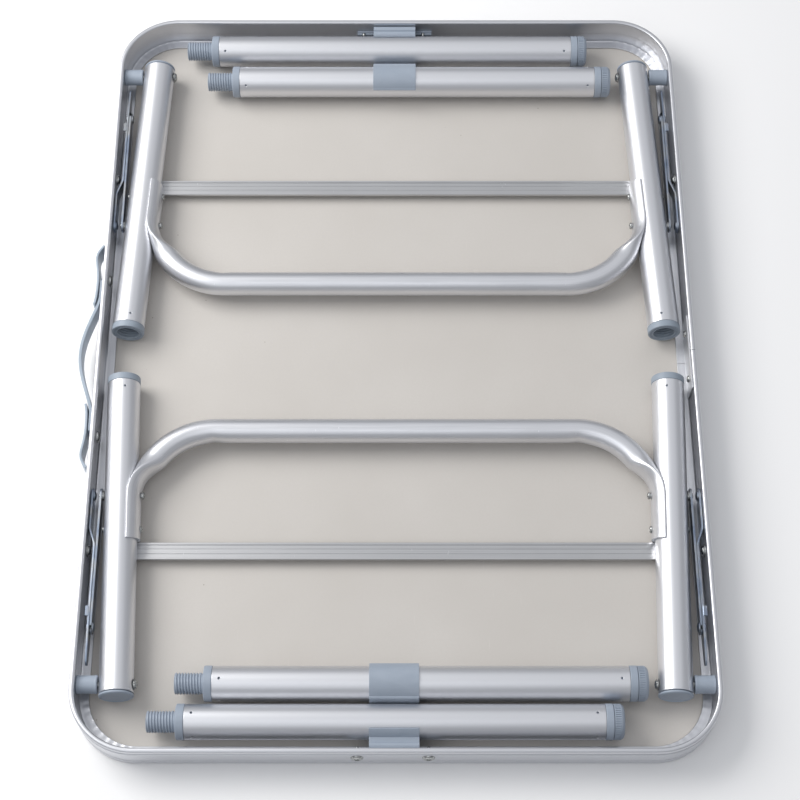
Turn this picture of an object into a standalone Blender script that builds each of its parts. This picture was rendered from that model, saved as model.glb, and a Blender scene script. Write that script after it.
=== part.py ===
"""Folding camping table, folded flat and lying face down.

The use face of the tabletop is the plane z = 0, and the underside faces +Z.
X runs across the table and Y along it. The two leg frames lie inside the edge
frame, one hinged near each end. Each frame turns 90 degrees about its hinge axis.
Four extension legs lie in two clips and screw into the open ends of the legs.
"""

import math

import bmesh
import bpy
from mathutils import Vector

# Tabletop, in metres
TABLE_WIDTH = 0.550
TABLE_LENGTH = 0.750
CORNER_RADIUS = 0.057
FRAME_HEIGHT = 0.0355
FRAME_WALL = 0.0046          # outer face to inner face of the upright wall
FRAME_LIP = 0.0132           # outer face to the edge of the lip over the panel
FRAME_BORDER = 0.0070        # aluminium border seen round the use face
SHEET = 0.0012               # wall of the extrusion
PANEL_TOP = 0.0049           # underside of the panel, which faces up here
PANEL_STEP = 0.0015          # depth of the rebate round the use face
GAP = 0.0003                 # between parts that touch
EDGE_CHAMFER = 0.0010        # round the use face
TOP_CHAMFER = 0.0006         # round the upper rim
LINE_BELOW_TOP = 0.0047      # drawn line round the outside of the frame
LINE_WIDTH = 0.0012
LINE_DEPTH = 0.0006

# Leg frames. "Along" is measured from the hinge axis along the leg.
HINGE_TO_MIDDLE = 0.313
HINGE_HEIGHT = 0.0224
HINGE_SIDE = 0.2368          # centre of the leg tube at the hinge
SPLAY = math.radians(2.45)   # the legs spread towards their feet
LEG_RADIUS = 0.0148
LEG_BORE = 0.0133
LEG_START = -0.0080
LEG_END = 0.2830
PIVOT_ALONG = 0.1730         # stay pivots, on the leg and on the edge frame
PLUG_THICKNESS = 0.0020
PLUG_DEPTH = 0.0035
SOCKET_OVERHANG = 0.0002
SOCKET_FLANGE = 0.0063
SOCKET_DEPTH = 0.0280
SOCKET_BORE = 0.0099

# Brace and crossbar of each leg frame
BRACE_RADIUS = 0.0110
BRACE_TO_MIDDLE = 0.0763
BRACE_BEND = 0.0660
BRACE_PRESSED = 0.0026       # thickness of the flattened ends
BRACE_FLAT_HALF = 0.0165     # half width of the flattened ends
BRACE_LIFT = 0.0021          # the flattened ends sit this far up round the legs
BRACE_TIP = 0.1845
BRACE_PRESS_START = 0.031    # distance from the leg's axis where the tube starts to flatten
TIP_SLOPE = 0.0026
BEND_RELIEF = 0.0014         # the bolt head stands off where the bend runs out
BAR_TO_MIDDLE = 0.1888
BAR_WIDTH = 0.0160
BAR_THICKNESS = 0.0028
BAR_HEIGHT = 0.0124
BAR_HALF_LENGTH = 0.2330

# Hinges
SPACER_RADIUS = 0.0080
HINGE_BOLT_RADIUS = 0.0030
HINGE_HEAD_RADIUS = 0.0052
HEAD_THICKNESS = 0.0024
HEAD_EDGE = 0.0010           # thickness of a head at its rim
HEAD_TOP_SHARE = 0.6         # radius of a head's flat top, as a share of its rim
HEAD_STANDOFF = 0.0009       # the leg tube leans, so its bolt head and spacer stand off
END_INSIDE = 0.0008          # bolts and pins end this far inside the frame's outer face
PIVOT_RADIUS = 0.0025
PIVOT_HEAD_RADIUS = 0.0045
HOLE_PLAY = 0.0003

# Stays
LINK_LENGTH = PIVOT_ALONG / math.sqrt(2)     # straight when the legs stand at 90 degrees
LINK_HALF_HEIGHT = 0.0066
LINK_THICKNESS = 0.0017
LEG_LINK_SIDE = 0.2615
RAIL_LINK_SIDE = 0.2636
RAIL_LINK_PIVOT_SIDE = 0.2689
JOGGLE_START = 0.0330
JOGGLE_END = 0.0480
TAB_LENGTH = 0.0340
RIVET_RADIUS = 0.0040
RIVET_EDGE = 0.0007          # height of a rivet head at its rim
RIVET_HEIGHT = 0.0017
LIP_TO_KNEE = 0.0130         # stop lip of the rail link
LIP_LENGTH = 0.0090
LIP_REACH = 0.0030

# Extension legs
OUTER_TUBE_TO_MIDDLE = 0.3452
INNER_TUBE_TO_MIDDLE = {"far": 0.3078, "near": 0.3121}
OUTER_TUBE_START = -0.2092
INNER_TUBE_START = -0.1873
EXTENSION_RADIUS = 0.0150
EXTENSION_BORE = 0.0135
EXTENSION_HEIGHT = 0.0222
THREAD_LENGTH = 0.0250
THREAD_RADIUS = 0.0092
COLLAR_LENGTH = 0.0070
EXTENSION_LENGTH = 0.3520
FOOT_RING_LENGTH = 0.0064
FOOT_CAP_LENGTH = 0.0090
FLANGE_RADIUS = 0.0152
STUD_RADIUS = 0.0050
STUD_LENGTH = 0.0140         # of the foot's stud inside its ring
THREAD_WALL = 0.0032
PLUG_INSERT = 0.0220         # depth of the threaded plug inside its tube
RING_INSERT = 0.0180
FOOT_CAP_RADIUS = 0.0150
FOOT_ROUNDING = 0.0028

# Clips and handle
CLIP_MIDDLE = -0.0015
CLIP_WIDTH = 0.0420
CLIP_BASE_WIDTH = 0.0750
CLIP_SHEET = 0.0016
CLIP_CORNER = 0.0018         # size of the bends where the clip's sheet turns
CLIP_SHOULDER = 0.0295       # height where the hook meets the end rail's side
CLIP_TOP = 0.0310
CLIP_BASE_LOW = 0.0110
CLIP_BASE_HIGH = 0.0230
CLIP_HOOK_START = 24         # degrees round each tube from the end rail's side
CLIP_HOOK_END = 52
CLIP_FREE_END = 152
SPLICE_LENGTH = 0.0760
SPLICE_LOW = 0.0075
SPLICE_HIGH = 0.0325
HANDLE_WIDTH = 0.0160
HANDLE_MIDDLE_HEIGHT = 0.0190
HANDLE_BOW = 0.0140
HANDLE_REACH = 0.0780
HANDLE_SHEET = 0.0030
HANDLE_SEAT = 0.0180         # length of each straight end, inside its cover
COVER_SHEET = 0.0022
COVER_OVERHANG = 0.0015      # each cover is this much wider than the strap, each side
COVER_LINE = (               # distance from the rail, distance along from the middle
    (0.0062, 0.0520), (0.0050, 0.0580), (0.0047, 0.0720), (0.0047, 0.0800),
    (0.0056, 0.0900), (0.0074, 0.0980), (0.0068, 0.1050), (0.0040, 0.1100),
    (0.0011, 0.1150),
)

ROUND_SIDES = 32
SMALL_SIDES = 16
CORNER_STEPS = 10


def clear_scene():
    for thing in list(bpy.data.objects):
        bpy.data.objects.remove(thing, do_unlink=True)


def finish_material(name, colour, metallic, roughness):
    finish = bpy.data.materials.new(name)
    finish.use_nodes = True
    shader = finish.node_tree.nodes["Principled BSDF"]
    shader.inputs["Base Color"].default_value = (*colour, 1.0)
    shader.inputs["Metallic"].default_value = metallic
    shader.inputs["Roughness"].default_value = roughness
    finish.diffuse_color = (*colour, 1.0)
    return finish


def joint_empty(name, place):
    """An empty on a joint's axis, for the pieces that move with that joint."""
    empty = bpy.data.objects.new(name, None)
    empty.empty_display_size = 0.02
    empty.location = place
    bpy.context.collection.objects.link(empty)
    return empty


def solid(name, shape, finish, joint=None):
    """An object from a mesh drawn in table coordinates, hung on its joint's empty."""
    bmesh.ops.recalc_face_normals(shape, faces=shape.faces)
    mesh = bpy.data.meshes.new(name)
    shape.to_mesh(mesh)
    shape.free()
    piece = bpy.data.objects.new(name, mesh)
    bpy.context.collection.objects.link(piece)
    if joint is not None:
        mesh.transform(joint.matrix_basis.inverted())
        piece.parent = joint
    if finish is not None:
        mesh.materials.append(finish.copy())
        mesh.materials[0].name = name + "_finish"
    mesh.shade_smooth()
    mesh.set_sharp_from_angle(angle=math.radians(35))
    return piece


def helper(name, shape, joint=None):
    """A cutter or a boss that another object's Boolean uses."""
    piece = solid(name, shape, None, joint)
    piece.hide_render = True
    piece.display_type = "WIRE"
    return piece


def combine(piece, other, operation):
    change = piece.modifiers.new(other.name, "BOOLEAN")
    change.operation = operation
    change.solver = "EXACT"
    change.object = other


def skin(shape, rings, closed=False):
    """Faces between rings of equal count, with flat ends unless the rings close on themselves."""
    made = [[shape.verts.new(point) for point in ring] for ring in rings]
    count = len(rings[0])
    pairs = list(zip(made, made[1:]))
    if closed:
        pairs.append((made[-1], made[0]))
    for first, second in pairs:
        for i in range(count):
            j = (i + 1) % count
            shape.faces.new((first[i], first[j], second[j], second[i]))
    if not closed:
        shape.faces.new(made[0])
        shape.faces.new(made[-1])
    return shape


def turned(shape, profile, start, direction, sides=ROUND_SIDES, hollow=False):
    """A round solid from (distance along, radius) points. A hollow profile closes on itself."""
    forward = Vector(direction).normalized()
    side = forward.orthogonal().normalized()
    other = forward.cross(side)
    rings = []
    for distance, radius in profile:
        centre = Vector(start) + forward * distance
        ring = []
        for i in range(sides):
            angle = 2 * math.pi * (i + 0.5) / sides
            ring.append(centre + (side * math.cos(angle) + other * math.sin(angle)) * radius)
        rings.append(ring)
    return skin(shape, rings, closed=hollow)


def box(shape, low, high):
    rings = []
    for z in (low[2], high[2]):
        rings.append([
            Vector((low[0], low[1], z)),
            Vector((high[0], low[1], z)),
            Vector((high[0], high[1], z)),
            Vector((low[0], high[1], z)),
        ])
    return skin(shape, rings)


def strip(outline, thickness):
    """Both sides of a bent sheet, as one closed outline, from its middle line in 2D."""
    left = []
    right = []
    for i, point in enumerate(outline):
        before = Vector(outline[max(i - 1, 0)])
        after = Vector(outline[min(i + 1, len(outline) - 1)])
        run = (after - before).normalized()
        normal = Vector((-run.y, run.x)) * thickness / 2
        left.append(Vector(point) + normal)
        right.append(Vector(point) - normal)
    return left + right[::-1]


def arc(centre, radius, start, end, steps):
    points = []
    for i in range(steps + 1):
        angle = math.radians(start + (end - start) * i / steps)
        points.append((centre[0] + radius * math.cos(angle), centre[1] + radius * math.sin(angle)))
    return points


def to_corner(shape, across, along):
    """Flip a shape drawn for the far right corner to another corner of the table."""
    bmesh.ops.scale(shape, vec=(across, along, 1), verts=shape.verts)
    return shape


def rounded_loop(inset, z, first_side_y=None):
    """The table's outline, set in from its edge. It starts on the right side, where given."""
    half_x = TABLE_WIDTH / 2 - inset
    half_y = TABLE_LENGTH / 2 - inset
    radius = CORNER_RADIUS - inset
    points = []
    if first_side_y is not None:
        points.append(Vector((half_x, first_side_y, z)))
    corners = ((1, 1, 0), (-1, 1, 90), (-1, -1, 180), (1, -1, 270))
    for side_x, side_y, start in corners:
        centre = (side_x * (half_x - radius), side_y * (half_y - radius))
        for x, y in arc(centre, radius, start, start + 90, CORNER_STEPS):
            points.append(Vector((x, y, z)))
    if first_side_y is not None:
        points.append(Vector((half_x, -first_side_y, z)))
    return points


def on_leg(along):
    """The leg tube's centre, for the far right leg."""
    x = HINGE_SIDE + along * math.sin(SPLAY)
    y = HINGE_TO_MIDDLE - along * math.cos(SPLAY)
    return Vector((x, y, HINGE_HEIGHT))


def leg_direction():
    return Vector((math.sin(SPLAY), -math.cos(SPLAY), 0))


def pivot_place():
    """The stay's two pivots share this distance from the hinge, in Y and Z."""
    return Vector((0, HINGE_TO_MIDDLE - PIVOT_ALONG, HINGE_HEIGHT))


CORNERS = (
    ("far_left", -1, 1),
    ("far_right", 1, 1),
    ("near_left", -1, -1),
    ("near_right", 1, -1),
)
ENDS = (("far", 1), ("near", -1))


def make_panel(finish):
    inset_use = FRAME_BORDER + GAP
    inset_edge = 0.0030 + GAP
    rings = [
        rounded_loop(inset_use, 0.0),
        rounded_loop(inset_use, PANEL_STEP),
        rounded_loop(inset_edge, PANEL_STEP),
        rounded_loop(inset_edge, PANEL_TOP),
    ]
    return solid("panel", skin(bmesh.new(), rings), finish)


def make_edge_frame(finish):
    """One hollow extrusion bent round the panel. Its ends meet halfway along the right side."""
    groove_back = 0.0030
    line_high = FRAME_HEIGHT - LINE_BELOW_TOP
    line_low = line_high - LINE_WIDTH
    slope = LINE_DEPTH
    lip_low = PANEL_TOP + GAP
    lip_high = lip_low + SHEET
    section = [
        (0.0000, EDGE_CHAMFER), (EDGE_CHAMFER, 0.0000),
        (FRAME_BORDER, 0.0000), (FRAME_BORDER, SHEET),
        (groove_back, SHEET), (groove_back, lip_low),
        (FRAME_LIP, lip_low), (FRAME_LIP, lip_high),
        (FRAME_WALL, lip_high), (FRAME_WALL, FRAME_HEIGHT - TOP_CHAMFER),
        (FRAME_WALL - TOP_CHAMFER, FRAME_HEIGHT), (TOP_CHAMFER, FRAME_HEIGHT),
        (0.0000, FRAME_HEIGHT - TOP_CHAMFER), (0.0000, line_high + slope),
        (LINE_DEPTH, line_high), (LINE_DEPTH, line_low),
        (0.0000, line_low - slope),
    ]
    cavity_low = lip_high + SHEET
    cavity_high = FRAME_HEIGHT - SHEET
    cavity_outer = SHEET + LINE_DEPTH
    cavity = [
        (cavity_outer, cavity_low), (FRAME_WALL - SHEET, cavity_low),
        (FRAME_WALL - SHEET, cavity_high), (cavity_outer, cavity_high),
    ]
    shape = bmesh.new()
    walls = []
    for outline in (section, cavity):
        loops = [rounded_loop(inset, z, first_side_y=GAP / 2) for inset, z in outline]
        stations = len(loops[0])
        made = [[shape.verts.new(loop[i]) for loop in loops] for i in range(stations)]
        for first, second in zip(made, made[1:]):
            for i in range(len(outline)):
                j = (i + 1) % len(outline)
                shape.faces.new((first[i], first[j], second[j], second[i]))
        walls.append(made)
    for station in (0, -1):
        edges = []
        for made in walls:
            ring = made[station]
            for i, vert in enumerate(ring):
                edges.append(shape.edges.get((vert, ring[(i + 1) % len(ring)])))
        bmesh.ops.triangle_fill(shape, edges=edges, use_beauty=True)
    frame = solid("edge_frame", shape, finish)

    holes = bmesh.new()
    for _, across, along in CORNERS:
        inside = TABLE_WIDTH / 2 - FRAME_LIP
        hinge = Vector((across * inside, along * HINGE_TO_MIDDLE, HINGE_HEIGHT))
        pivot = Vector((across * inside, along * pivot_place().y, HINGE_HEIGHT))
        for place, radius in ((hinge, HINGE_BOLT_RADIUS), (pivot, PIVOT_RADIUS)):
            through = FRAME_LIP + FRAME_WALL
            profile = [(0, radius + HOLE_PLAY), (through, radius + HOLE_PLAY)]
            turned(holes, profile, place, (across, 0, 0), SMALL_SIDES)
    combine(frame, helper("frame_hole_cutter", holes), "DIFFERENCE")
    return frame


def make_splice(finish):
    outer = TABLE_WIDTH / 2 - FRAME_WALL - GAP
    low = (outer - SHEET, -SPLICE_LENGTH / 2, SPLICE_LOW)
    high = (outer, SPLICE_LENGTH / 2, SPLICE_HIGH)
    return solid("splice_plate", box(bmesh.new(), low, high), finish)


def make_clip(end_name, along, finish):
    """A bent plastic sheet: hooked over the outer tube, under it and over the inner one."""
    wall = TABLE_LENGTH / 2 - FRAME_WALL - GAP - CLIP_SHEET / 2
    floor = PANEL_TOP + GAP + CLIP_SHEET / 2
    over_lip = PANEL_TOP + GAP + SHEET + GAP + CLIP_SHEET / 2
    wrap = EXTENSION_RADIUS + GAP + CLIP_SHEET / 2
    outer = (OUTER_TUBE_TO_MIDDLE, EXTENSION_HEIGHT)
    inner = (INNER_TUBE_TO_MIDDLE[end_name], EXTENSION_HEIGHT)
    between = inner[0] + wrap
    lip_edge = TABLE_LENGTH / 2 - FRAME_LIP - CLIP_CORNER
    line = arc(outer, wrap, CLIP_HOOK_END, CLIP_HOOK_START, 4)
    line += [(wall - 2 * CLIP_CORNER, CLIP_SHOULDER), (wall - CLIP_CORNER / 2, CLIP_TOP)]
    line += [(wall, CLIP_TOP - CLIP_CORNER / 2), (wall, over_lip + CLIP_CORNER)]
    line += [(wall - CLIP_CORNER, over_lip), (lip_edge, over_lip)]
    line += [(lip_edge - CLIP_CORNER, floor), (between + CLIP_CORNER, floor)]
    line += [(between, floor + CLIP_CORNER)]
    line += arc(inner, wrap, 0, CLIP_FREE_END, 16)
    shape = bmesh.new()
    outline = strip(line, CLIP_SHEET)
    rings = []
    for x in (CLIP_MIDDLE - CLIP_WIDTH / 2, CLIP_MIDDLE + CLIP_WIDTH / 2):
        rings.append([Vector((x, point.x, point.y)) for point in outline])
    name = "extension_clip_" + end_name
    clip = solid(name, to_corner(skin(shape, rings), 1, along), finish)

    inset = CLIP_SHEET / 8
    low = (CLIP_MIDDLE - CLIP_BASE_WIDTH / 2, wall - CLIP_SHEET / 2 + inset, CLIP_BASE_LOW)
    high = (CLIP_MIDDLE + CLIP_BASE_WIDTH / 2, wall + CLIP_SHEET / 2 - inset, CLIP_BASE_HIGH)
    tabs = to_corner(box(bmesh.new(), low, high), 1, along)
    combine(clip, helper(name + "_tabs", tabs), "UNION")
    return clip


def make_handle(strap_finish, end_finish):
    outer = -TABLE_WIDTH / 2 - GAP
    low = HANDLE_MIDDLE_HEIGHT - HANDLE_WIDTH / 2
    high = HANDLE_MIDDLE_HEIGHT + HANDLE_WIDTH / 2
    steps = 28
    line = []
    for i in range(steps + 1):
        y = HANDLE_REACH * (2 * i / steps - 1)
        rise = max(0.0, 1 - abs(y) / (HANDLE_REACH - HANDLE_SEAT))
        bow = HANDLE_BOW * math.sin(rise * math.pi / 2) ** 1.4
        line.append((outer - HANDLE_SHEET / 2 - bow, y))
    outline = strip(line, HANDLE_SHEET)
    rings = [[Vector((point.x, point.y, z)) for point in outline] for z in (low, high)]
    solid("handle_strap", skin(bmesh.new(), rings), strap_finish)

    for end_name, along in ENDS:
        outline = strip([(outer - away, y) for away, y in COVER_LINE], COVER_SHEET)
        low_cover = low - COVER_OVERHANG
        high_cover = high + COVER_OVERHANG
        rings = []
        for z in (low_cover, high_cover):
            rings.append([Vector((point.x, point.y, z)) for point in outline])
        shape = to_corner(skin(bmesh.new(), rings), 1, along)
        solid("handle_end_" + end_name, shape, end_finish)


def make_hinge(corner, across, along, spacer_finish, bolt_finish):
    inner = HINGE_SIDE - LEG_RADIUS - HEAD_STANDOFF
    rail = TABLE_WIDTH / 2 - FRAME_WALL
    axis = Vector((0, HINGE_TO_MIDDLE, HINGE_HEIGHT))
    start = HINGE_SIDE + LEG_RADIUS + HEAD_STANDOFF
    end = rail - GAP
    bore = HINGE_BOLT_RADIUS + HOLE_PLAY
    profile = [
        (start, SPACER_RADIUS), (end, SPACER_RADIUS),
        (end, bore), (start, bore),
    ]
    shape = turned(bmesh.new(), profile, axis, (1, 0, 0), 24, hollow=True)
    solid("hinge_spacer_" + corner, to_corner(shape, across, along), spacer_finish)

    profile = [
        (inner - HEAD_THICKNESS, HINGE_HEAD_RADIUS * HEAD_TOP_SHARE),
        (inner - HEAD_EDGE, HINGE_HEAD_RADIUS),
        (inner, HINGE_HEAD_RADIUS), (inner, HINGE_BOLT_RADIUS),
        (TABLE_WIDTH / 2 - END_INSIDE, HINGE_BOLT_RADIUS),
    ]
    shape = turned(bmesh.new(), profile, axis, (1, 0, 0), SMALL_SIDES)
    solid("hinge_bolt_" + corner, to_corner(shape, across, along), bolt_finish)


def make_leg(corner, across, along, joint, tube_finish, plastic):
    hinge = on_leg(0)
    ahead = leg_direction()
    profile = [
        (LEG_START, LEG_RADIUS), (LEG_END, LEG_RADIUS),
        (LEG_END, LEG_BORE), (LEG_START, LEG_BORE),
    ]
    shape = turned(bmesh.new(), profile, hinge, ahead, hollow=True)
    tube = solid("leg_tube_" + corner, to_corner(shape, across, along), tube_finish, joint)

    cuts = bmesh.new()
    reach = 3 * LEG_RADIUS
    for centre, radius in (
        (hinge, HINGE_BOLT_RADIUS),
        (on_leg(PIVOT_ALONG / math.cos(SPLAY)), PIVOT_RADIUS),
    ):
        place = centre - Vector((reach / 2, 0, 0))
        profile = [(0, radius + HOLE_PLAY), (reach, radius + HOLE_PLAY)]
        turned(cuts, profile, place, (1, 0, 0), SMALL_SIDES)
    play = HOLE_PLAY
    half_width = BAR_WIDTH / 2 + play
    half_thick = BAR_THICKNESS / 2 + play
    inside = BAR_HALF_LENGTH - 0.6 * LEG_RADIUS
    low = (inside, BAR_TO_MIDDLE - half_width, BAR_HEIGHT - half_thick)
    high = (BAR_HALF_LENGTH + 0.3 * LEG_RADIUS, BAR_TO_MIDDLE + half_width,
            BAR_HEIGHT + half_thick)
    box(cuts, low, high)
    bmesh.ops.recalc_face_normals(cuts, faces=cuts.faces)
    cutter = helper("leg_cutter_" + corner, to_corner(cuts, across, along), joint)
    combine(tube, cutter, "DIFFERENCE")

    inside = LEG_BORE - GAP
    face = LEG_START - GAP
    profile = [
        (face + PLUG_DEPTH, inside), (face, inside), (face, LEG_RADIUS),
        (face - PLUG_THICKNESS / 2, LEG_RADIUS - GAP),
        (face - PLUG_THICKNESS, LEG_RADIUS - PLUG_THICKNESS),
    ]
    shape = turned(bmesh.new(), profile, hinge, ahead)
    solid("leg_plug_" + corner, to_corner(shape, across, along), plastic, joint)

    face = LEG_END + GAP
    profile = [
        (face - SOCKET_DEPTH, inside), (face, inside), (face, LEG_RADIUS + SOCKET_OVERHANG),
        (face + SOCKET_FLANGE, LEG_RADIUS + SOCKET_OVERHANG), (face + SOCKET_FLANGE, SOCKET_BORE),
        (face - SOCKET_DEPTH, SOCKET_BORE),
    ]
    shape = turned(bmesh.new(), profile, hinge, ahead, hollow=True)
    solid("leg_socket_" + corner, to_corner(shape, across, along), plastic, joint)


def brace_ring(centre, forward, to_leg, inner_half, half_height, saddle):
    """One section of the brace, pushed clear of the leg tube and bent round it by a share."""
    inward = Vector((-forward.y, forward.x, 0))
    clear = LEG_RADIUS + GAP
    sides = 24
    ring = []
    for i in range(sides):
        angle = 2 * math.pi * i / sides
        out = math.cos(angle)
        u = out * (inner_half if out > 0 else BRACE_RADIUS)
        v = math.sin(angle) * half_height
        turn = (v + BRACE_LIFT * saddle) / to_leg
        bent_u = (to_leg + u) * math.cos(turn) - to_leg
        bent_v = (to_leg + u) * math.sin(turn)
        u += (bent_u - u) * saddle
        v += (bent_v - v) * saddle
        push = max(1.0, clear / math.hypot(to_leg + u, v))
        u = (to_leg + u) * push - to_leg
        v *= push
        ring.append(centre + inward * u + Vector((0, 0, v)))
    return ring


def brace_half():
    """Rings from the middle of the brace to its tip on the right leg, drawn for the far end."""
    flat_half = BRACE_PRESSED / 2
    offset = LEG_RADIUS + GAP + flat_half
    turn = math.pi / 2 + SPLAY
    bend_end_y = BRACE_TO_MIDDLE + BRACE_BEND * (1 - math.cos(turn))
    leg_x = HINGE_SIDE + (HINGE_TO_MIDDLE - bend_end_y) * math.tan(SPLAY)
    bend_end_x = leg_x - offset / math.cos(SPLAY)
    bend_start_x = bend_end_x - BRACE_BEND * math.sin(turn)
    stations = [(Vector((0, BRACE_TO_MIDDLE, HINGE_HEIGHT)), 0.0)]
    steps = 14
    for i in range(steps + 1):
        angle = turn * i / steps
        x = bend_start_x + BRACE_BEND * math.sin(angle)
        y = BRACE_TO_MIDDLE + BRACE_BEND * (1 - math.cos(angle))
        stations.append((Vector((x, y, HINGE_HEIGHT)), angle))
    end = stations[-1][0]
    straight = (BRACE_TIP - end.y) / math.cos(SPLAY)
    for share in (0.33, 0.66, 1.0):
        ahead = Vector((math.cos(turn), math.sin(turn), 0))
        stations.append((end + ahead * straight * share, turn))
    rings = []
    for centre, angle in stations:
        forward = Vector((math.cos(angle), math.sin(angle), 0))
        leg_line = HINGE_SIDE + (HINGE_TO_MIDDLE - centre.y) * math.tan(SPLAY)
        to_leg = (leg_line - centre.x) * math.cos(SPLAY)
        share = (BRACE_PRESS_START - to_leg) / (BRACE_PRESS_START - offset)
        pressed = min(max(share, 0.0), 1.0)
        pressed = pressed * pressed * (3 - 2 * pressed)
        inner_half = BRACE_RADIUS + (flat_half - BRACE_RADIUS) * pressed
        height = BRACE_RADIUS + (BRACE_FLAT_HALF - BRACE_RADIUS) * pressed
        ring = brace_ring(centre, forward, to_leg, inner_half, height, pressed)
        rings.append(ring)
    for point in rings[-1]:
        point.y += TIP_SLOPE * ((point.z - HINGE_HEIGHT) / BRACE_FLAT_HALF - 1)
    return rings


def make_leg_frame_bars(end_name, along, joint, tube_finish, bar_finish):
    half = brace_half()
    mirrored = [[Vector((-p.x, p.y, p.z)) for p in ring] for ring in half[1:]]
    rings = mirrored[::-1] + half
    shape = to_corner(skin(bmesh.new(), rings), 1, along)
    brace = solid("brace_" + end_name, shape, tube_finish, joint)
    cuts = bmesh.new()
    for across in (-1, 1):
        centre = on_leg(PIVOT_ALONG / math.cos(SPLAY))
        start = centre.x - 2 * LEG_RADIUS
        place = Vector((across * start, along * centre.y, centre.z))
        radius = PIVOT_RADIUS + HOLE_PLAY
        through = 1.7 * LEG_RADIUS
        turned(cuts, [(0, radius), (through, radius)], place, (across, 0, 0), SMALL_SIDES)
    combine(brace, helper("brace_cutter_" + end_name, cuts, joint), "DIFFERENCE")

    low = (-BAR_HALF_LENGTH, BAR_TO_MIDDLE - BAR_WIDTH / 2, BAR_HEIGHT - BAR_THICKNESS / 2)
    high = (BAR_HALF_LENGTH, BAR_TO_MIDDLE + BAR_WIDTH / 2, BAR_HEIGHT + BAR_THICKNESS / 2)
    shape = to_corner(box(bmesh.new(), low, high), 1, along)
    solid("crossbar_" + end_name, shape, bar_finish, joint)


def link_shape(length, beyond, side_at, tab_half):
    """A flat bar on edge, from its pivot at y = 0 towards the hinge, rounded at both ends."""
    half = LINK_HALF_HEIGHT
    marks = []
    for angle in (15, 35, 60, 90):
        turn = math.radians(angle)
        marks.append((-half * math.cos(turn), half * math.sin(turn)))
    marks += [(JOGGLE_START, half), (JOGGLE_END, half), (length, half)]
    last = length + beyond
    for angle in (90, 60, 35, 15):
        turn = math.radians(angle)
        marks.append((last - tab_half + tab_half * math.cos(turn), tab_half * math.sin(turn)))
    rings = []
    for distance, half_height in marks:
        side = side_at(distance)
        y = pivot_place().y + distance
        rings.append([
            Vector((side - LINK_THICKNESS / 2, y, HINGE_HEIGHT - half_height)),
            Vector((side + LINK_THICKNESS / 2, y, HINGE_HEIGHT - half_height)),
            Vector((side + LINK_THICKNESS / 2, y, HINGE_HEIGHT + half_height)),
            Vector((side - LINK_THICKNESS / 2, y, HINGE_HEIGHT + half_height)),
        ])
    return skin(bmesh.new(), rings)


def joggled(distance):
    share = min(max((distance - JOGGLE_START) / (JOGGLE_END - JOGGLE_START), 0.0), 1.0)
    return RAIL_LINK_PIVOT_SIDE + (RAIL_LINK_SIDE - RAIL_LINK_PIVOT_SIDE) * share


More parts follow.
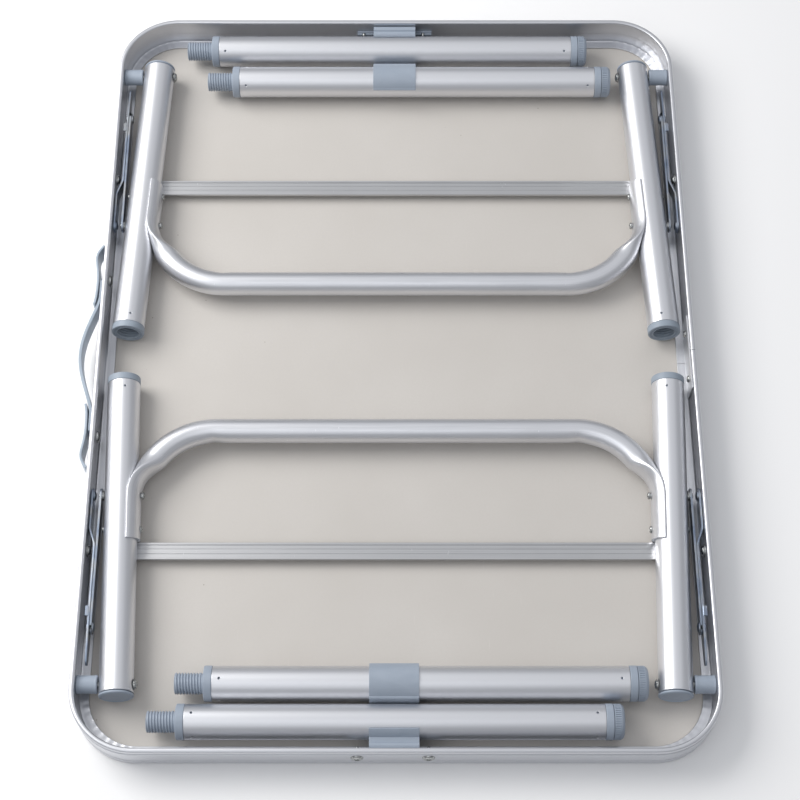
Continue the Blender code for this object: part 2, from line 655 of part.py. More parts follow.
def make_stay(corner, across, along, rail_joint, leg_joint, leg_frame_joint, zinc, steel):
    pivot = pivot_place()
    knee = pivot + Vector((0, LINK_LENGTH, 0))
    half = LINK_THICKNESS / 2

    shape = link_shape(LINK_LENGTH, TAB_LENGTH, joggled, LINK_HALF_HEIGHT * 0.7)
    rail_link = solid("rail_link_" + corner, to_corner(shape, across, along), zinc, rail_joint)
    inner = RAIL_LINK_PIVOT_SIDE - half
    sunk = LINK_THICKNESS / 3
    pin = [
        (inner - 2 * HEAD_EDGE, PIVOT_HEAD_RADIUS * HEAD_TOP_SHARE),
        (inner - HEAD_EDGE, PIVOT_HEAD_RADIUS), (inner + sunk, PIVOT_HEAD_RADIUS),
        (inner + sunk, PIVOT_RADIUS), (TABLE_WIDTH / 2 - END_INSIDE, PIVOT_RADIUS),
    ]
    boss = turned(bmesh.new(), pin, pivot, (1, 0, 0), SMALL_SIDES)
    boss_piece = helper("rail_pin_" + corner, to_corner(boss, across, along), rail_joint)
    combine(rail_link, boss_piece, "UNION")
    outer = RAIL_LINK_SIDE + half
    rivet = [
        (outer - sunk, RIVET_RADIUS * 0.9), (outer + RIVET_EDGE, RIVET_RADIUS),
        (outer + RIVET_HEIGHT, RIVET_RADIUS * HEAD_TOP_SHARE),
    ]
    boss = turned(bmesh.new(), rivet, knee, (1, 0, 0), SMALL_SIDES)
    boss_piece = helper("rail_rivet_" + corner, to_corner(boss, across, along), rail_joint)
    combine(rail_link, boss_piece, "UNION")
    lip_y = knee.y - LIP_TO_KNEE
    lip_top = HINGE_HEIGHT + LINK_HALF_HEIGHT + GAP
    low = (outer - half, lip_y - LIP_LENGTH / 2, lip_top - LINK_THICKNESS)
    high = (outer + LIP_REACH, lip_y + LIP_LENGTH / 2, lip_top)
    boss = box(bmesh.new(), low, high)
    boss_piece = helper("rail_lip_" + corner, to_corner(boss, across, along), rail_joint)
    combine(rail_link, boss_piece, "UNION")

    shape = link_shape(LINK_LENGTH, LINK_HALF_HEIGHT, lambda _: LEG_LINK_SIDE, LINK_HALF_HEIGHT)
    leg_link = solid("leg_link_" + corner, to_corner(shape, across, along), zinc, leg_joint)
    inner = LEG_LINK_SIDE - half
    rivet = [
        (inner - RIVET_HEIGHT, RIVET_RADIUS * HEAD_TOP_SHARE),
        (inner - RIVET_EDGE, RIVET_RADIUS), (inner + sunk, RIVET_RADIUS * 0.9),
    ]
    boss = turned(bmesh.new(), rivet, knee, (1, 0, 0), SMALL_SIDES)
    boss_piece = helper("leg_rivet_" + corner, to_corner(boss, across, along), leg_joint)
    combine(leg_link, boss_piece, "UNION")
    bore = PIVOT_RADIUS + HOLE_PLAY
    reach = 2 * LINK_THICKNESS
    hole = [(LEG_LINK_SIDE - reach, bore), (LEG_LINK_SIDE + reach, bore)]
    cut = turned(bmesh.new(), hole, pivot, (1, 0, 0), SMALL_SIDES)
    cut_piece = helper("leg_link_cutter_" + corner, to_corner(cut, across, along), leg_joint)
    combine(leg_link, cut_piece, "DIFFERENCE")

    leg_x = on_leg(PIVOT_ALONG / math.cos(SPLAY)).x
    head = leg_x - LEG_RADIUS - GAP - BRACE_PRESSED - BEND_RELIEF
    outer = LEG_LINK_SIDE + half + GAP
    bolt = [
        (head - HEAD_THICKNESS, PIVOT_HEAD_RADIUS * HEAD_TOP_SHARE),
        (head - HEAD_EDGE, PIVOT_HEAD_RADIUS), (head, PIVOT_HEAD_RADIUS),
        (head, PIVOT_RADIUS), (outer, PIVOT_RADIUS), (outer, PIVOT_HEAD_RADIUS),
        (outer + HEAD_EDGE, PIVOT_HEAD_RADIUS),
        (outer + 2 * HEAD_EDGE, PIVOT_HEAD_RADIUS * HEAD_TOP_SHARE),
    ]
    shape = turned(bmesh.new(), bolt, pivot, (1, 0, 0), SMALL_SIDES)
    solid("brace_bolt_" + corner, to_corner(shape, across, along), steel, leg_frame_joint)


def make_extension(name, start_x, middle_y, along, tube_finish, plastic):
    """A tube with a threaded plug at its left end and an adjustable foot at its right end."""
    start = Vector((start_x, middle_y, EXTENSION_HEIGHT))
    joint = joint_empty("extension_joint_" + name, (0, along * middle_y, EXTENSION_HEIGHT))
    right = (1, 0, 0)
    tube_start = THREAD_LENGTH + COLLAR_LENGTH + GAP
    tube_end = tube_start + EXTENSION_LENGTH
    inside = EXTENSION_BORE - GAP

    profile = [
        (tube_start, EXTENSION_RADIUS), (tube_end, EXTENSION_RADIUS),
        (tube_end, EXTENSION_BORE), (tube_start, EXTENSION_BORE),
    ]
    shape = turned(bmesh.new(), profile, start, right, hollow=True)
    solid("extension_tube_" + name, to_corner(shape, 1, along), tube_finish, joint)

    bore = THREAD_RADIUS - THREAD_WALL
    collar_end = THREAD_LENGTH + COLLAR_LENGTH
    lead = THREAD_WALL / 4
    profile = [
        (0, THREAD_RADIUS - lead), (lead, THREAD_RADIUS), (THREAD_LENGTH, THREAD_RADIUS),
        (THREAD_LENGTH, FLANGE_RADIUS), (collar_end, FLANGE_RADIUS), (collar_end, inside),
        (collar_end + PLUG_INSERT, inside), (collar_end + PLUG_INSERT, bore), (0, bore),
    ]
    shape = turned(bmesh.new(), profile, start, right, 24, hollow=True)
    solid("threaded_plug_" + name, to_corner(shape, 1, along), plastic, joint)

    ring_start = tube_end + GAP
    ring_end = ring_start + FOOT_RING_LENGTH
    bore = STUD_RADIUS + HOLE_PLAY
    profile = [
        (ring_start - RING_INSERT, inside), (ring_start, inside),
        (ring_start, FLANGE_RADIUS), (ring_end, FLANGE_RADIUS), (ring_end, bore),
        (ring_start - RING_INSERT, bore),
    ]
    shape = turned(bmesh.new(), profile, start, right, 24, hollow=True)
    solid("foot_ring_" + name, to_corner(shape, 1, along), plastic, joint)

    cap_start = ring_end + GAP
    cap_end = cap_start + FOOT_CAP_LENGTH - GAP
    profile = [
        (ring_start - STUD_LENGTH, STUD_RADIUS), (cap_start, STUD_RADIUS),
        (cap_start, FOOT_CAP_RADIUS), (cap_end - FOOT_ROUNDING, FOOT_CAP_RADIUS),
        (cap_end - FOOT_ROUNDING / 4, FOOT_CAP_RADIUS - FOOT_ROUNDING / 2),
        (cap_end, FOOT_CAP_RADIUS - FOOT_ROUNDING),
    ]
    shape = turned(bmesh.new(), profile, start, right, 24)
    foot_joint = joint_empty("foot_joint_" + name, start + Vector((cap_end, 0, 0)))
    foot_joint.location.y = along * middle_y
    solid("foot_" + name, to_corner(shape, 1, along), plastic, foot_joint)


def build():
    clear_scene()
    anodised = finish_material("anodised_aluminium", (0.78, 0.79, 0.81), 1.0, 0.33)
    extruded = finish_material("extruded_aluminium", (0.76, 0.77, 0.78), 1.0, 0.30)
    zinc = finish_material("zinc_plated_steel", (0.55, 0.60, 0.66), 1.0, 0.25)
    steel = finish_material("steel", (0.62, 0.62, 0.61), 1.0, 0.28)
    plastic = finish_material("grey_plastic", (0.33, 0.40, 0.44), 0.0, 0.45)
    laminate = finish_material("laminate", (0.62, 0.59, 0.55), 0.0, 0.50)

    make_panel(laminate)
    make_edge_frame(extruded)
    make_splice(extruded)
    for end_name, along in ENDS:
        make_clip(end_name, along, plastic)
    make_handle(plastic, plastic)

    frame_joints = {}
    for end_name, along in ENDS:
        place = (0, along * HINGE_TO_MIDDLE, HINGE_HEIGHT)
        frame_joints[along] = joint_empty("leg_hinge_" + end_name, place)
        make_leg_frame_bars(end_name, along, frame_joints[along], anodised, extruded)

    for corner, across, along in CORNERS:
        joint = frame_joints[along]
        make_hinge(corner, across, along, plastic, steel)
        make_leg(corner, across, along, joint, anodised, plastic)
        pivot = pivot_place()
        rail_place = (across * RAIL_LINK_PIVOT_SIDE, along * pivot.y, pivot.z)
        leg_place = (across * LEG_LINK_SIDE, along * pivot.y, pivot.z)
        rail_joint = joint_empty("rail_link_pivot_" + corner, rail_place)
        leg_joint = joint_empty("leg_link_pivot_" + corner, leg_place)
        make_stay(corner, across, along, rail_joint, leg_joint, joint, zinc, steel)

    for end_name, along in ENDS:
        outer = ("outer", OUTER_TUBE_START, OUTER_TUBE_TO_MIDDLE)
        inner = ("inner", INNER_TUBE_START, INNER_TUBE_TO_MIDDLE[end_name])
        for place_name, start_x, middle_y in (outer, inner):
            name = end_name + "_" + place_name
            make_extension(name, start_x, middle_y, along, anodised, plastic)


build()
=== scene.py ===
"""Finished look of a folding camping table, folded flat and lying face down.

X runs across the table, Y along it and Z up from the use face. Parts that repeat are
modelled once, for the far right corner or the far end, and copied to the others.
"""

import math

import bmesh
import bpy
from mathutils import Matrix, Vector, noise


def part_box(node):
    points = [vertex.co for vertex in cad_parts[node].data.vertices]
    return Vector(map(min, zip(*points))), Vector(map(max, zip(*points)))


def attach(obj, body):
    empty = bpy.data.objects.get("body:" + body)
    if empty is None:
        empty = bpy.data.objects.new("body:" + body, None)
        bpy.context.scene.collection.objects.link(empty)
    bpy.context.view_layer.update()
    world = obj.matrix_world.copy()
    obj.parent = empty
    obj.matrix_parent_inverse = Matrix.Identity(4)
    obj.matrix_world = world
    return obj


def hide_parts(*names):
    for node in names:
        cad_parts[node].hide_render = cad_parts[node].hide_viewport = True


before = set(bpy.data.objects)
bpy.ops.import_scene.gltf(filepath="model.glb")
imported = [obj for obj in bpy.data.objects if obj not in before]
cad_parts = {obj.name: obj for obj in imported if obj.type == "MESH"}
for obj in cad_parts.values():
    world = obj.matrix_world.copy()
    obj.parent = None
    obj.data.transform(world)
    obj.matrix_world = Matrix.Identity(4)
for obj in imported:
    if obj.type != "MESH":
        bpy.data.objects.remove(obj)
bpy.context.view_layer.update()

# Table, in metres
CORNER_RADIUS = 0.057
RAIL_WALL = 0.0046
RAIL_LIP = 0.0132
LIP_BAND = (0.005, 0.007)
RAIL_SEAM = 0.0004
CORNER_STEPS = 88
CRIMPS = 10
CRIMP_HEIGHT = 0.0004
PANEL_INSET = 0.004
PANEL_STEP = 0.0015

# Leg frames, for the far right corner
HINGE = Vector((0.2368, 0.313, 0.0224))
SPLAY = math.radians(2.45)
LEG_WAY = Vector((math.sin(SPLAY), -math.cos(SPLAY), 0))
LEG_RADIUS = 0.0148
LEG_BORE = 0.0133
LEG_START = -0.008
LEG_END = 0.283
PIVOT_ALONG = 0.173
PIVOT_Y = HINGE.y - PIVOT_ALONG
BRACE_RADIUS = 0.011
BRACE_Y = 0.0763
BRACE_BEND = 0.066
BRACE_PRESSED = 0.0026
BRACE_FLAT_HALF = 0.0165
PRESS_START = 0.031
BRACE_LIFT = 0.0021
BRACE_TIP = 0.1845
TIP_SLOPE = 0.0026
DENT_DEPTH = 0.0009
TOOTH_DEPTH = 0.0007
SOCKET_SIDES = 64
SOCKET_RING = 0.0063
SOCKET_DEPTH = 0.028
PRICK_FROM_END = 0.0073
PLAY = 0.0003

# Small fasteners: (along the table, height) and places on a side
RAIL_SCREW = (0.192, 0.022)
BRACE_SCREW_Y = 0.1722
SPLICE_SCREWS = (("far", 0.0238), ("near", -0.0229))
CLIP_SCREWS = (("left", -0.0325), ("right", 0.0272))
SMALL_SCREW_Z = 0.0205
HANDLE_SCREW = (0.081, 0.019)
HEAD_SINK = 0.0024

# Stays
LINK_LENGTH = PIVOT_ALONG / math.sqrt(2)
LINK_HALF = 0.0066
LINK_THICKNESS = 0.0017
LEG_LINK_X = 0.2615
RAIL_LINK_X = 0.2636
RAIL_LINK_PIVOT_X = 0.2689
JOGGLE = (0.033, 0.048)
TAB_LENGTH = 0.034
KNEE_Y = PIVOT_Y + LINK_LENGTH

# Extension legs
TUBE_RADIUS = 0.015
CLIP_WIDTH = 0.042
TUBE_BORE = 0.0135
THREAD_RADIUS = 0.0092
THREAD_PITCH = 0.0025
THREAD_TURNS = 8.6
THREAD_DEPTH = 0.0011
FLANGE_RADIUS = 0.0152
FOOT_RING = 0.0064
FOOT_SIDES = 96

CORNERS = (
    ("far_right", 1, 1),
    ("far_left", -1, 1),
    ("near_right", 1, -1),
    ("near_left", -1, -1),
)
ENDS = (("far", 1), ("near", -1))

SMOOTH_ANGLE = math.radians(38)

finishes = {}
grain_starts = iter(range(1, 1000))


# Modelling

def put_down():
    bpy.ops.object.select_all(action="DESELECT")


def pick_up(piece):
    put_down()
    piece.select_set(True)
    bpy.context.view_layer.objects.active = piece


def drawn(name, points, filled=True):
    """A closed outline with its corners at the points, left in edit mode and selected."""
    put_down()
    fill = "NGON" if filled else "NOTHING"
    bpy.ops.mesh.primitive_circle_add(vertices=len(points), radius=0.01, fill_type=fill,
                                      location=(0, 0, 0))
    piece = bpy.context.object
    piece.name = name
    piece.data.name = name
    for corner, point in zip(piece.data.vertices, points):
        corner.co = point
    bpy.ops.object.mode_set(mode="EDIT")
    bpy.ops.mesh.select_mode(type="VERT")
    bpy.ops.mesh.select_all(action="SELECT")
    return piece


def mm(*pairs, at=(0, 0)):
    """Pairs in millimetres from a place, as pairs in metres."""
    return [(at[0] + first / 1000, at[1] + second / 1000) for first, second in pairs]


def pull(way):
    bpy.ops.mesh.extrude_region_move(TRANSFORM_OT_translate={"value": way})


def finished(piece, bevel=0.0, segments=2, angle=30):
    """Closes the shape, turns it right side out, and eases its edges."""
    if piece.mode != "EDIT":
        pick_up(piece)
        bpy.ops.object.mode_set(mode="EDIT")
    bpy.ops.mesh.select_all(action="SELECT")
    bpy.ops.mesh.remove_doubles(threshold=0.000002)
    bpy.ops.mesh.normals_make_consistent(inside=False)
    bpy.ops.object.mode_set(mode="OBJECT")
    pick_up(piece)
    if bevel:
        eased = piece.modifiers.new("eased", "BEVEL")
        eased.width = bevel
        eased.segments = segments
        eased.limit_method = "ANGLE"
        eased.angle_limit = math.radians(angle)
        bpy.ops.object.modifier_apply(modifier="eased")
    return piece


def select_faces(piece, wanted):
    """In edit mode, selects the faces whose middle and normal the test accepts."""
    bpy.ops.mesh.select_mode(type="FACE")
    bpy.ops.mesh.select_all(action="DESELECT")
    shape = bmesh.from_edit_mesh(piece.data)
    for face in shape.faces:
        if wanted(face.calc_center_median(), face.normal):
            face.select_set(True)
    bmesh.update_edit_mesh(piece.data)


def press_teeth(piece, centre, way, sides, on_band, edge):
    """Presses in every other face of a band round a turned piece."""
    first, second = across_from(way)

    def wanted(middle, normal):
        spot = middle - centre
        turn = math.atan2(spot.dot(second), spot.dot(first)) / (2 * math.pi) * sides
        return on_band(spot, normal) and round(turn - 0.5) % 2 == 0

    select_faces(piece, wanted)
    bpy.ops.mesh.inset(thickness=edge, depth=-TOOTH_DEPTH, use_individual=True)
    finished(piece)


def across_from(way):
    """Two directions square to a way. The first points down wherever it can."""
    down = Vector((0, 0, -1))
    first = down - way * down.dot(way)
    if first.length < 0.01:
        first = Vector((1, 0, 0))
    first.normalize()
    return first, way.cross(first)


def turned(name, steps, start, way, sides=48, hollow=False):
    """A round piece drawn out of a circle through (distance along, radius) steps."""
    start = Vector(start)
    way = Vector(way).normalized()
    first, second = across_from(way)
    at, radius = steps[0]
    ring = []
    for i in range(sides):
        angle = 2 * math.pi * i / sides
        spoke = first * math.cos(angle) + second * math.sin(angle)
        ring.append(start + way * at + spoke * radius)
    piece = drawn(name, ring, filled=not hollow)
    for next_at, next_radius in steps[1:]:
        pull(way * (next_at - at))
        share = next_radius / radius
        if abs(share - 1) > 1e-6:
            bpy.ops.transform.resize(value=(share, share, share),
                                     center_override=start + way * next_at)
        at, radius = next_at, next_radius
    return piece


def pipe(name, ends, radius, bore, start, way):
    """A tube with open ends, from one distance along its way to another."""
    low, high = ends
    steps = [(low, radius), (high, radius), (high, bore), (low, bore), (low, radius)]
    return finished(turned(name, steps, start, way, 72, hollow=True), 0.0003)


def rod(name, radius, length, start, way=(1, 0, 0), sides=20, bevel=0.0002):
    steps = [(0, radius), (length, radius)]
    return finished(turned(name, steps, start, way, sides), bevel)


def prism(name, outline, way):
    piece = drawn(name, outline)
    pull(Vector(way))
    return piece


def wrap_grain(piece, start, way):
    """A UV map that runs along the piece and round it, in metres, for drawn metal."""
    start = Vector(start)
    way = Vector(way).normalized()
    first, second = across_from(way)
    grain = piece.data.uv_layers.new(name="grain")
    for face in piece.data.polygons:
        turn_before = None
        for loop in face.loop_indices:
            spot = piece.data.vertices[piece.data.loops[loop].vertex_index].co - start
            turn = math.atan2(spot.dot(second), spot.dot(first))
            if turn_before is not None:
                while turn - turn_before > math.pi:
                    turn -= 2 * math.pi
                while turn_before - turn > math.pi:
                    turn += 2 * math.pi
            turn_before = turn
            grain.data[loop].uv = (spot.dot(way), turn * LEG_RADIUS)


def copied(piece, name, move):
    """A copy with its own mesh, moved or mirrored, whose grain starts elsewhere."""
    pick_up(piece)
    bpy.ops.object.duplicate(linked=False)
    twin = bpy.context.object
    twin.name = name
    twin.data.name = name
    twin.data.transform(move)
    if move.determinant() < 0:
        twin.data.flip_normals()
    for grain in twin.data.uv_layers:
        shift = 0.731 * next(grain_starts)
        for spot in grain.data:
            spot.uv.x += shift
    return twin


def taken(piece, tool):
    """Cuts the tool's shape out of the piece."""
    pick_up(piece)
    cut = piece.modifiers.new("cut", "BOOLEAN")
    cut.operation = "DIFFERENCE"
    cut.solver = "EXACT"
    cut.object = tool
    bpy.ops.object.modifier_apply(modifier="cut")


def thrown_away(*things):
    for thing in things:
        bpy.data.objects.remove(thing, do_unlink=True)


def joined(name, pieces):
    pick_up(pieces[0])
    for piece in pieces:
        piece.select_set(True)
    bpy.ops.object.join()
    whole = bpy.context.object
    whole.name = name
    whole.data.name = name
    return whole


def mounted(piece, body, finish, slot, *stands_for):
    """Gives a finished piece its shading and material, and hangs it on its body."""
    pick_up(piece)
    bpy.ops.object.shade_smooth_by_angle(angle=SMOOTH_ANGLE)
    even = piece.modifiers.new("even", "WEIGHTED_NORMAL")
    even.keep_sharp = True
    bpy.ops.object.modifier_apply(modifier="even")
    piece.data.materials.clear()
    piece.data.materials.append(finishes[finish])
    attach(piece, body)
    if stands_for:
        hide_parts(*stands_for)
    return piece


def spread(piece, name, places, body, finish, slot, node=None):
    """Copies a piece from its first place to the others and mounts them all."""
    made = [piece]
    for place, across, along in places[1:]:
        mirror = Matrix.Diagonal((across, along, 1, 1))
        made.append(copied(piece, name + "_" + place, mirror))
    piece.name = name + "_" + places[0][0]
    for one, (place, _, _) in zip(made, places):
        stands_for = [node + "_" + place] if node else []
        rides = body.format(corner=place, end=place.split("_")[0])
        mounted(one, rides, finish, slot, *stands_for)


def at_corners(piece, name, *settings):
    spread(piece, name, CORNERS, *settings)


def at_ends(piece, name, *settings):
    spread(piece, name, (("far", 1, 1), ("near", 1, -1)), *settings)


def facing(place, way, spin=0.0):
    """Moves a piece modelled on the origin, facing up, to a place facing a way."""
    turn = Vector(way).to_track_quat("Z", "Y").to_matrix().to_4x4()
    return Matrix.Translation(place) @ turn @ Matrix.Rotation(spin, 4, "Z")


def arc(centre, radius, start, end, steps):
    points = []
    for i in range(steps + 1):
        angle = math.radians(start + (end - start) * i / steps)
        points.append((centre[0] + radius * math.cos(angle),
                       centre[1] + radius * math.sin(angle)))
    return points


def sheet_outline(line, thickness):
    """Both sides of a bent sheet, as one closed outline, from its middle line."""
    left = []
    right = []
    for i, point in enumerate(line):
        before = Vector(line[max(i - 1, 0)])
        after = Vector(line[min(i + 1, len(line) - 1)])
        run = (after - before).normalized()
        side = Vector((-run.y, run.x)) * thickness / 2
        left.append(Vector(point) + side)
        right.append(Vector(point) - side)
    return left + right[::-1]


# Finishes

class Recipe:
    """A material under construction, with short calls for the nodes that it uses."""

    def __init__(self, name, metallic, roughness):
        self.material = bpy.data.materials.new(name)
        self.material.use_nodes = True
        self.tree = self.material.node_tree
        self.shader = self.tree.nodes["Principled BSDF"]
        self.shader.inputs["Metallic"].default_value = metallic
        self.shader.inputs["Roughness"].default_value = roughness
        self.last_bump = None
        finishes[name] = self.material

    def node(self, kind, **settings):
        made = self.tree.nodes.new(kind)
        for key, value in settings.items():
            setattr(made, key, value)
        return made

    def link(self, source, target):
        self.tree.links.new(source, target)

    def place(self, scale=1, turn=(0, 0, 0), source="Object"):
        spot = self.node("ShaderNodeTexCoord")
        mapping = self.node("ShaderNodeMapping")
        if not isinstance(scale, tuple):
            scale = (scale, scale, scale)
        mapping.inputs["Scale"].default_value = scale
        mapping.inputs["Rotation"].default_value = turn
        self.link(spot.outputs[source], mapping.inputs["Vector"])
        return mapping.outputs["Vector"]

    def clouds(self, where, scale, detail=3.0, rough=0.5, distortion=0.0):
        made = self.node("ShaderNodeTexNoise")
        self.link(where, made.inputs["Vector"])
        made.inputs["Scale"].default_value = scale
        made.inputs["Detail"].default_value = detail
        made.inputs["Roughness"].default_value = rough
        made.inputs["Distortion"].default_value = distortion
        return made.outputs["Fac"]

    def cells(self, where, scale, randomness=1.0):
        made = self.node("ShaderNodeTexVoronoi")
        self.link(where, made.inputs["Vector"])
        made.inputs["Scale"].default_value = scale
        made.inputs["Randomness"].default_value = randomness
        return made.outputs["Distance"]

    def graded(self, source, *stops):
        """A ramp through (position, colour or grey) stops."""
        made = self.node("ShaderNodeValToRGB")
        band = made.color_ramp
        while len(band.elements) < len(stops):
            band.elements.new(0.5)
        for element, (position, shade) in zip(band.elements, stops):
            element.position = position
            colour = shade if isinstance(shade, tuple) else (shade, shade, shade)
            element.color = (*colour, 1.0)
        self.link(source, made.inputs["Fac"])
        return made.outputs["Color"]

    def mixed(self, share, first, second):
        """Second over first by the share. Each is a node's output or a fixed colour."""
        made = self.node("ShaderNodeMix", data_type="RGBA")
        self.link(share, made.inputs["Factor"])
        for name, value in (("A", first), ("B", second)):
            socket = [s for s in made.inputs if s.name == name and s.type == "RGBA"][0]
            if isinstance(value, tuple):
                socket.default_value = (*value, 1.0)
            else:
                self.link(value, socket)
        return [s for s in made.outputs if s.type == "RGBA"][0]

    def ranged(self, source, low, high):
        made = self.node("ShaderNodeMapRange")
        self.link(source, made.inputs["Value"])
        made.inputs["To Min"].default_value = low
        made.inputs["To Max"].default_value = high
        return made.outputs["Result"]

    def maths(self, operation, first, second):
        made = self.node("ShaderNodeMath", operation=operation, use_clamp=True)
        self.link(first, made.inputs[0])
        self.link(second, made.inputs[1])
        return made.outputs["Value"]

    def colour(self, source):
        self.link(source, self.shader.inputs["Base Color"])

    def roughness(self, source):
        self.link(source, self.shader.inputs["Roughness"])

    def relief(self, height, strength, depth):
        bump = self.node("ShaderNodeBump")
        bump.inputs["Strength"].default_value = strength
        bump.inputs["Distance"].default_value = depth
        self.link(height, bump.inputs["Height"])
        if self.last_bump is not None:
            self.link(self.last_bump, bump.inputs["Normal"])
        self.last_bump = bump.outputs["Normal"]
        self.link(self.last_bump, self.shader.inputs["Normal"])


def metal_finish(name, source, along, light, dark, roughness, spread, streaks=1.0):
    """Drawn or extruded aluminium: fine lines along it, smudges, ticks and small pits."""
    metal = Recipe(name, 1.0, roughness)
    lines = metal.clouds(metal.place(along, source=source), 1.0, 5.0, 0.62)
    haze = metal.clouds(metal.place(14, source=source), 1.0, 3.0, 0.5, 0.6)
    tick_turn = (0.0, 0.0, math.radians(38))
    ticks = metal.clouds(metal.place((900, 230, 500), tick_turn, source), 1.0, 1.0, 0.4)
    ticks = metal.graded(ticks, (0.735, 0.0), (0.76, 1.0))
    rare = metal.clouds(metal.place(60, source=source), 1.0, 1.0)
    rare = metal.graded(rare, (0.56, 0.0), (0.62, 1.0))
    body = metal.mixed(metal.graded(lines, (0.3, 0.0), (0.7, 1.0)), dark, light)
    smudge = metal.graded(haze, (0.42, 0.0), (0.75, 0.35))
    body = metal.mixed(smudge, body, tuple(c * 0.90 for c in dark))
    bright = tuple(min(1.0, c * 1.15) for c in light)
    metal.colour(metal.mixed(metal.maths("MULTIPLY", ticks, rare), body, bright))
    gloss = metal.ranged(haze, roughness - spread, roughness + spread)
    metal.roughness(metal.maths("ADD", gloss, metal.ranged(lines, -0.03, 0.05)))
    metal.relief(lines, 0.16 * streaks, 0.00005)
    pits = metal.clouds(metal.place(2600, source=source), 1.0, 2.0, 0.6)
    metal.relief(pits, 0.10, 0.00004)


def make_finishes():
    pale = (0.84, 0.85, 0.88)
    metal_finish("drawn_aluminium", "UV", (9, 2200, 1), pale, (0.73, 0.74, 0.77), 0.39, 0.05)
    metal_finish("brace_aluminium", "UV", (14, 1500, 1), pale, (0.72, 0.73, 0.76), 0.35, 0.05)
    metal_finish("rail_aluminium_along", "Object", (1500, 5, 1500),
                 (0.83, 0.84, 0.86), (0.70, 0.71, 0.73), 0.30, 0.05)
    metal_finish("rail_aluminium", "UV", (5, 1900, 1),
                 (0.75, 0.76, 0.79), (0.61, 0.62, 0.65), 0.39, 0.06, 1.4)
    metal_finish("bar_aluminium", "Object", (6, 1800, 1800),
                 (0.64, 0.645, 0.655), (0.52, 0.525, 0.535), 0.34, 0.05, 1.6)
    zinc_finish()
    steel_finish()
    plastic_finish("grey_plastic", (0.345, 0.395, 0.465), (0.305, 0.355, 0.425), 0.42)
    plastic_finish("socket_plastic", (0.325, 0.375, 0.435), (0.285, 0.335, 0.395), 0.46)
    plastic_finish("handle_plastic", (0.375, 0.435, 0.505), (0.325, 0.385, 0.455), 0.36)
    laminate_finish()


def zinc_finish():
    """Bright zinc plate with its faint blue and straw tints."""
    zinc = Recipe("zinc_plate", 1.0, 0.24)
    where = zinc.place()
    tint = zinc.clouds(where, 42.0, 3.0, 0.55, 0.8)
    body = zinc.graded(tint, (0.30, (0.22, 0.27, 0.36)), (0.50, (0.32, 0.37, 0.45)),
                       (0.66, (0.42, 0.44, 0.46)), (0.80, (0.46, 0.44, 0.40)))
    stain = zinc.clouds(where, 260.0, 4.0, 0.7)
    mask = zinc.graded(stain, (0.60, 0.0), (0.72, 0.55))
    zinc.colour(zinc.mixed(mask, body, (0.14, 0.15, 0.18)))
    zinc.roughness(zinc.ranged(stain, 0.22, 0.40))
    lines = zinc.clouds(zinc.place((1700, 22, 1700)), 1.0, 3.0, 0.6)
    zinc.relief(lines, 0.08, 0.00003)


def steel_finish():
    """Nickel-bright screws and rivets, darker in their pits."""
    steel = Recipe("screw_steel", 1.0, 0.22)
    where = steel.place()
    patch = steel.clouds(where, 700.0, 4.0, 0.65)
    body = steel.graded(patch, (0.35, (0.22, 0.23, 0.23)), (0.60, (0.55, 0.56, 0.55)))
    steel.colour(body)
    steel.roughness(steel.ranged(patch, 0.34, 0.16))
    steel.relief(patch, 0.25, 0.00005)


def plastic_finish(name, light, dark, roughness):
    """Moulded plastic: flow marks, a fine moulded grain, scuffs and a little dust."""
    plastic = Recipe(name, 0.0, roughness)
    flow = plastic.clouds(plastic.place((30, 60, 45)), 1.0, 4.0, 0.55, 1.2)
    body = plastic.mixed(plastic.graded(flow, (0.32, 0.0), (0.68, 1.0)), dark, light)
    scuffs = plastic.clouds(plastic.place((2200, 140, 900), (0.3, 0.2, 0.9)), 1.0, 2.0)
    mask = plastic.graded(scuffs, (0.70, 0.0), (0.78, 0.45))
    pale = tuple(min(1.0, c * 1.45) for c in light)
    plastic.colour(plastic.mixed(mask, body, pale))
    plastic.roughness(plastic.ranged(flow, roughness - 0.06, roughness + 0.10))
    grain = plastic.clouds(plastic.place(1900), 1.0, 2.0, 0.6)
    plastic.relief(grain, 0.20, 0.00006)
    plastic.relief(flow, 0.10, 0.0004)
    plastic.shader.inputs["Specular IOR Level"].default_value = 0.45


def laminate_finish():
    """Warm grey laminate: very slight mottling, shallow waves, specks and rub marks."""
    board = Recipe("laminate", 0.0, 0.44)
    where = board.place()
    mottle = board.clouds(where, 7.0, 4.0, 0.55)
    body = board.graded(mottle, (0.30, (0.560, 0.532, 0.497)), (0.70, (0.598, 0.571, 0.538)))
    fibre = board.clouds(board.place(420), 1.0, 3.0, 0.6)
    body = board.mixed(board.graded(fibre, (0.35, 0.0), (0.75, 0.30)), body,
                       (0.545, 0.515, 0.478))
    specks = board.cells(board.place(31), 1.0)
    specks = board.graded(specks, (0.010, 1.0), (0.022, 0.0))
    body = board.mixed(specks, body, (0.30, 0.26, 0.22))
    rubs = board.clouds(board.place((700, 24, 24), (0, 0, 0.6)), 1.0, 2.0, 0.5)
    rubs = board.graded(rubs, (0.735, 0.0), (0.77, 0.30))
    board.colour(board.mixed(rubs, body, (0.66, 0.63, 0.60)))
    board.roughness(board.ranged(mottle, 0.38, 0.52))
    board.relief(board.clouds(where, 60.0, 2.0, 0.5), 0.12, 0.0006)
    board.relief(fibre, 0.14, 0.00008)
    board.shader.inputs["Specular IOR Level"].default_value = 0.40


# Tabletop

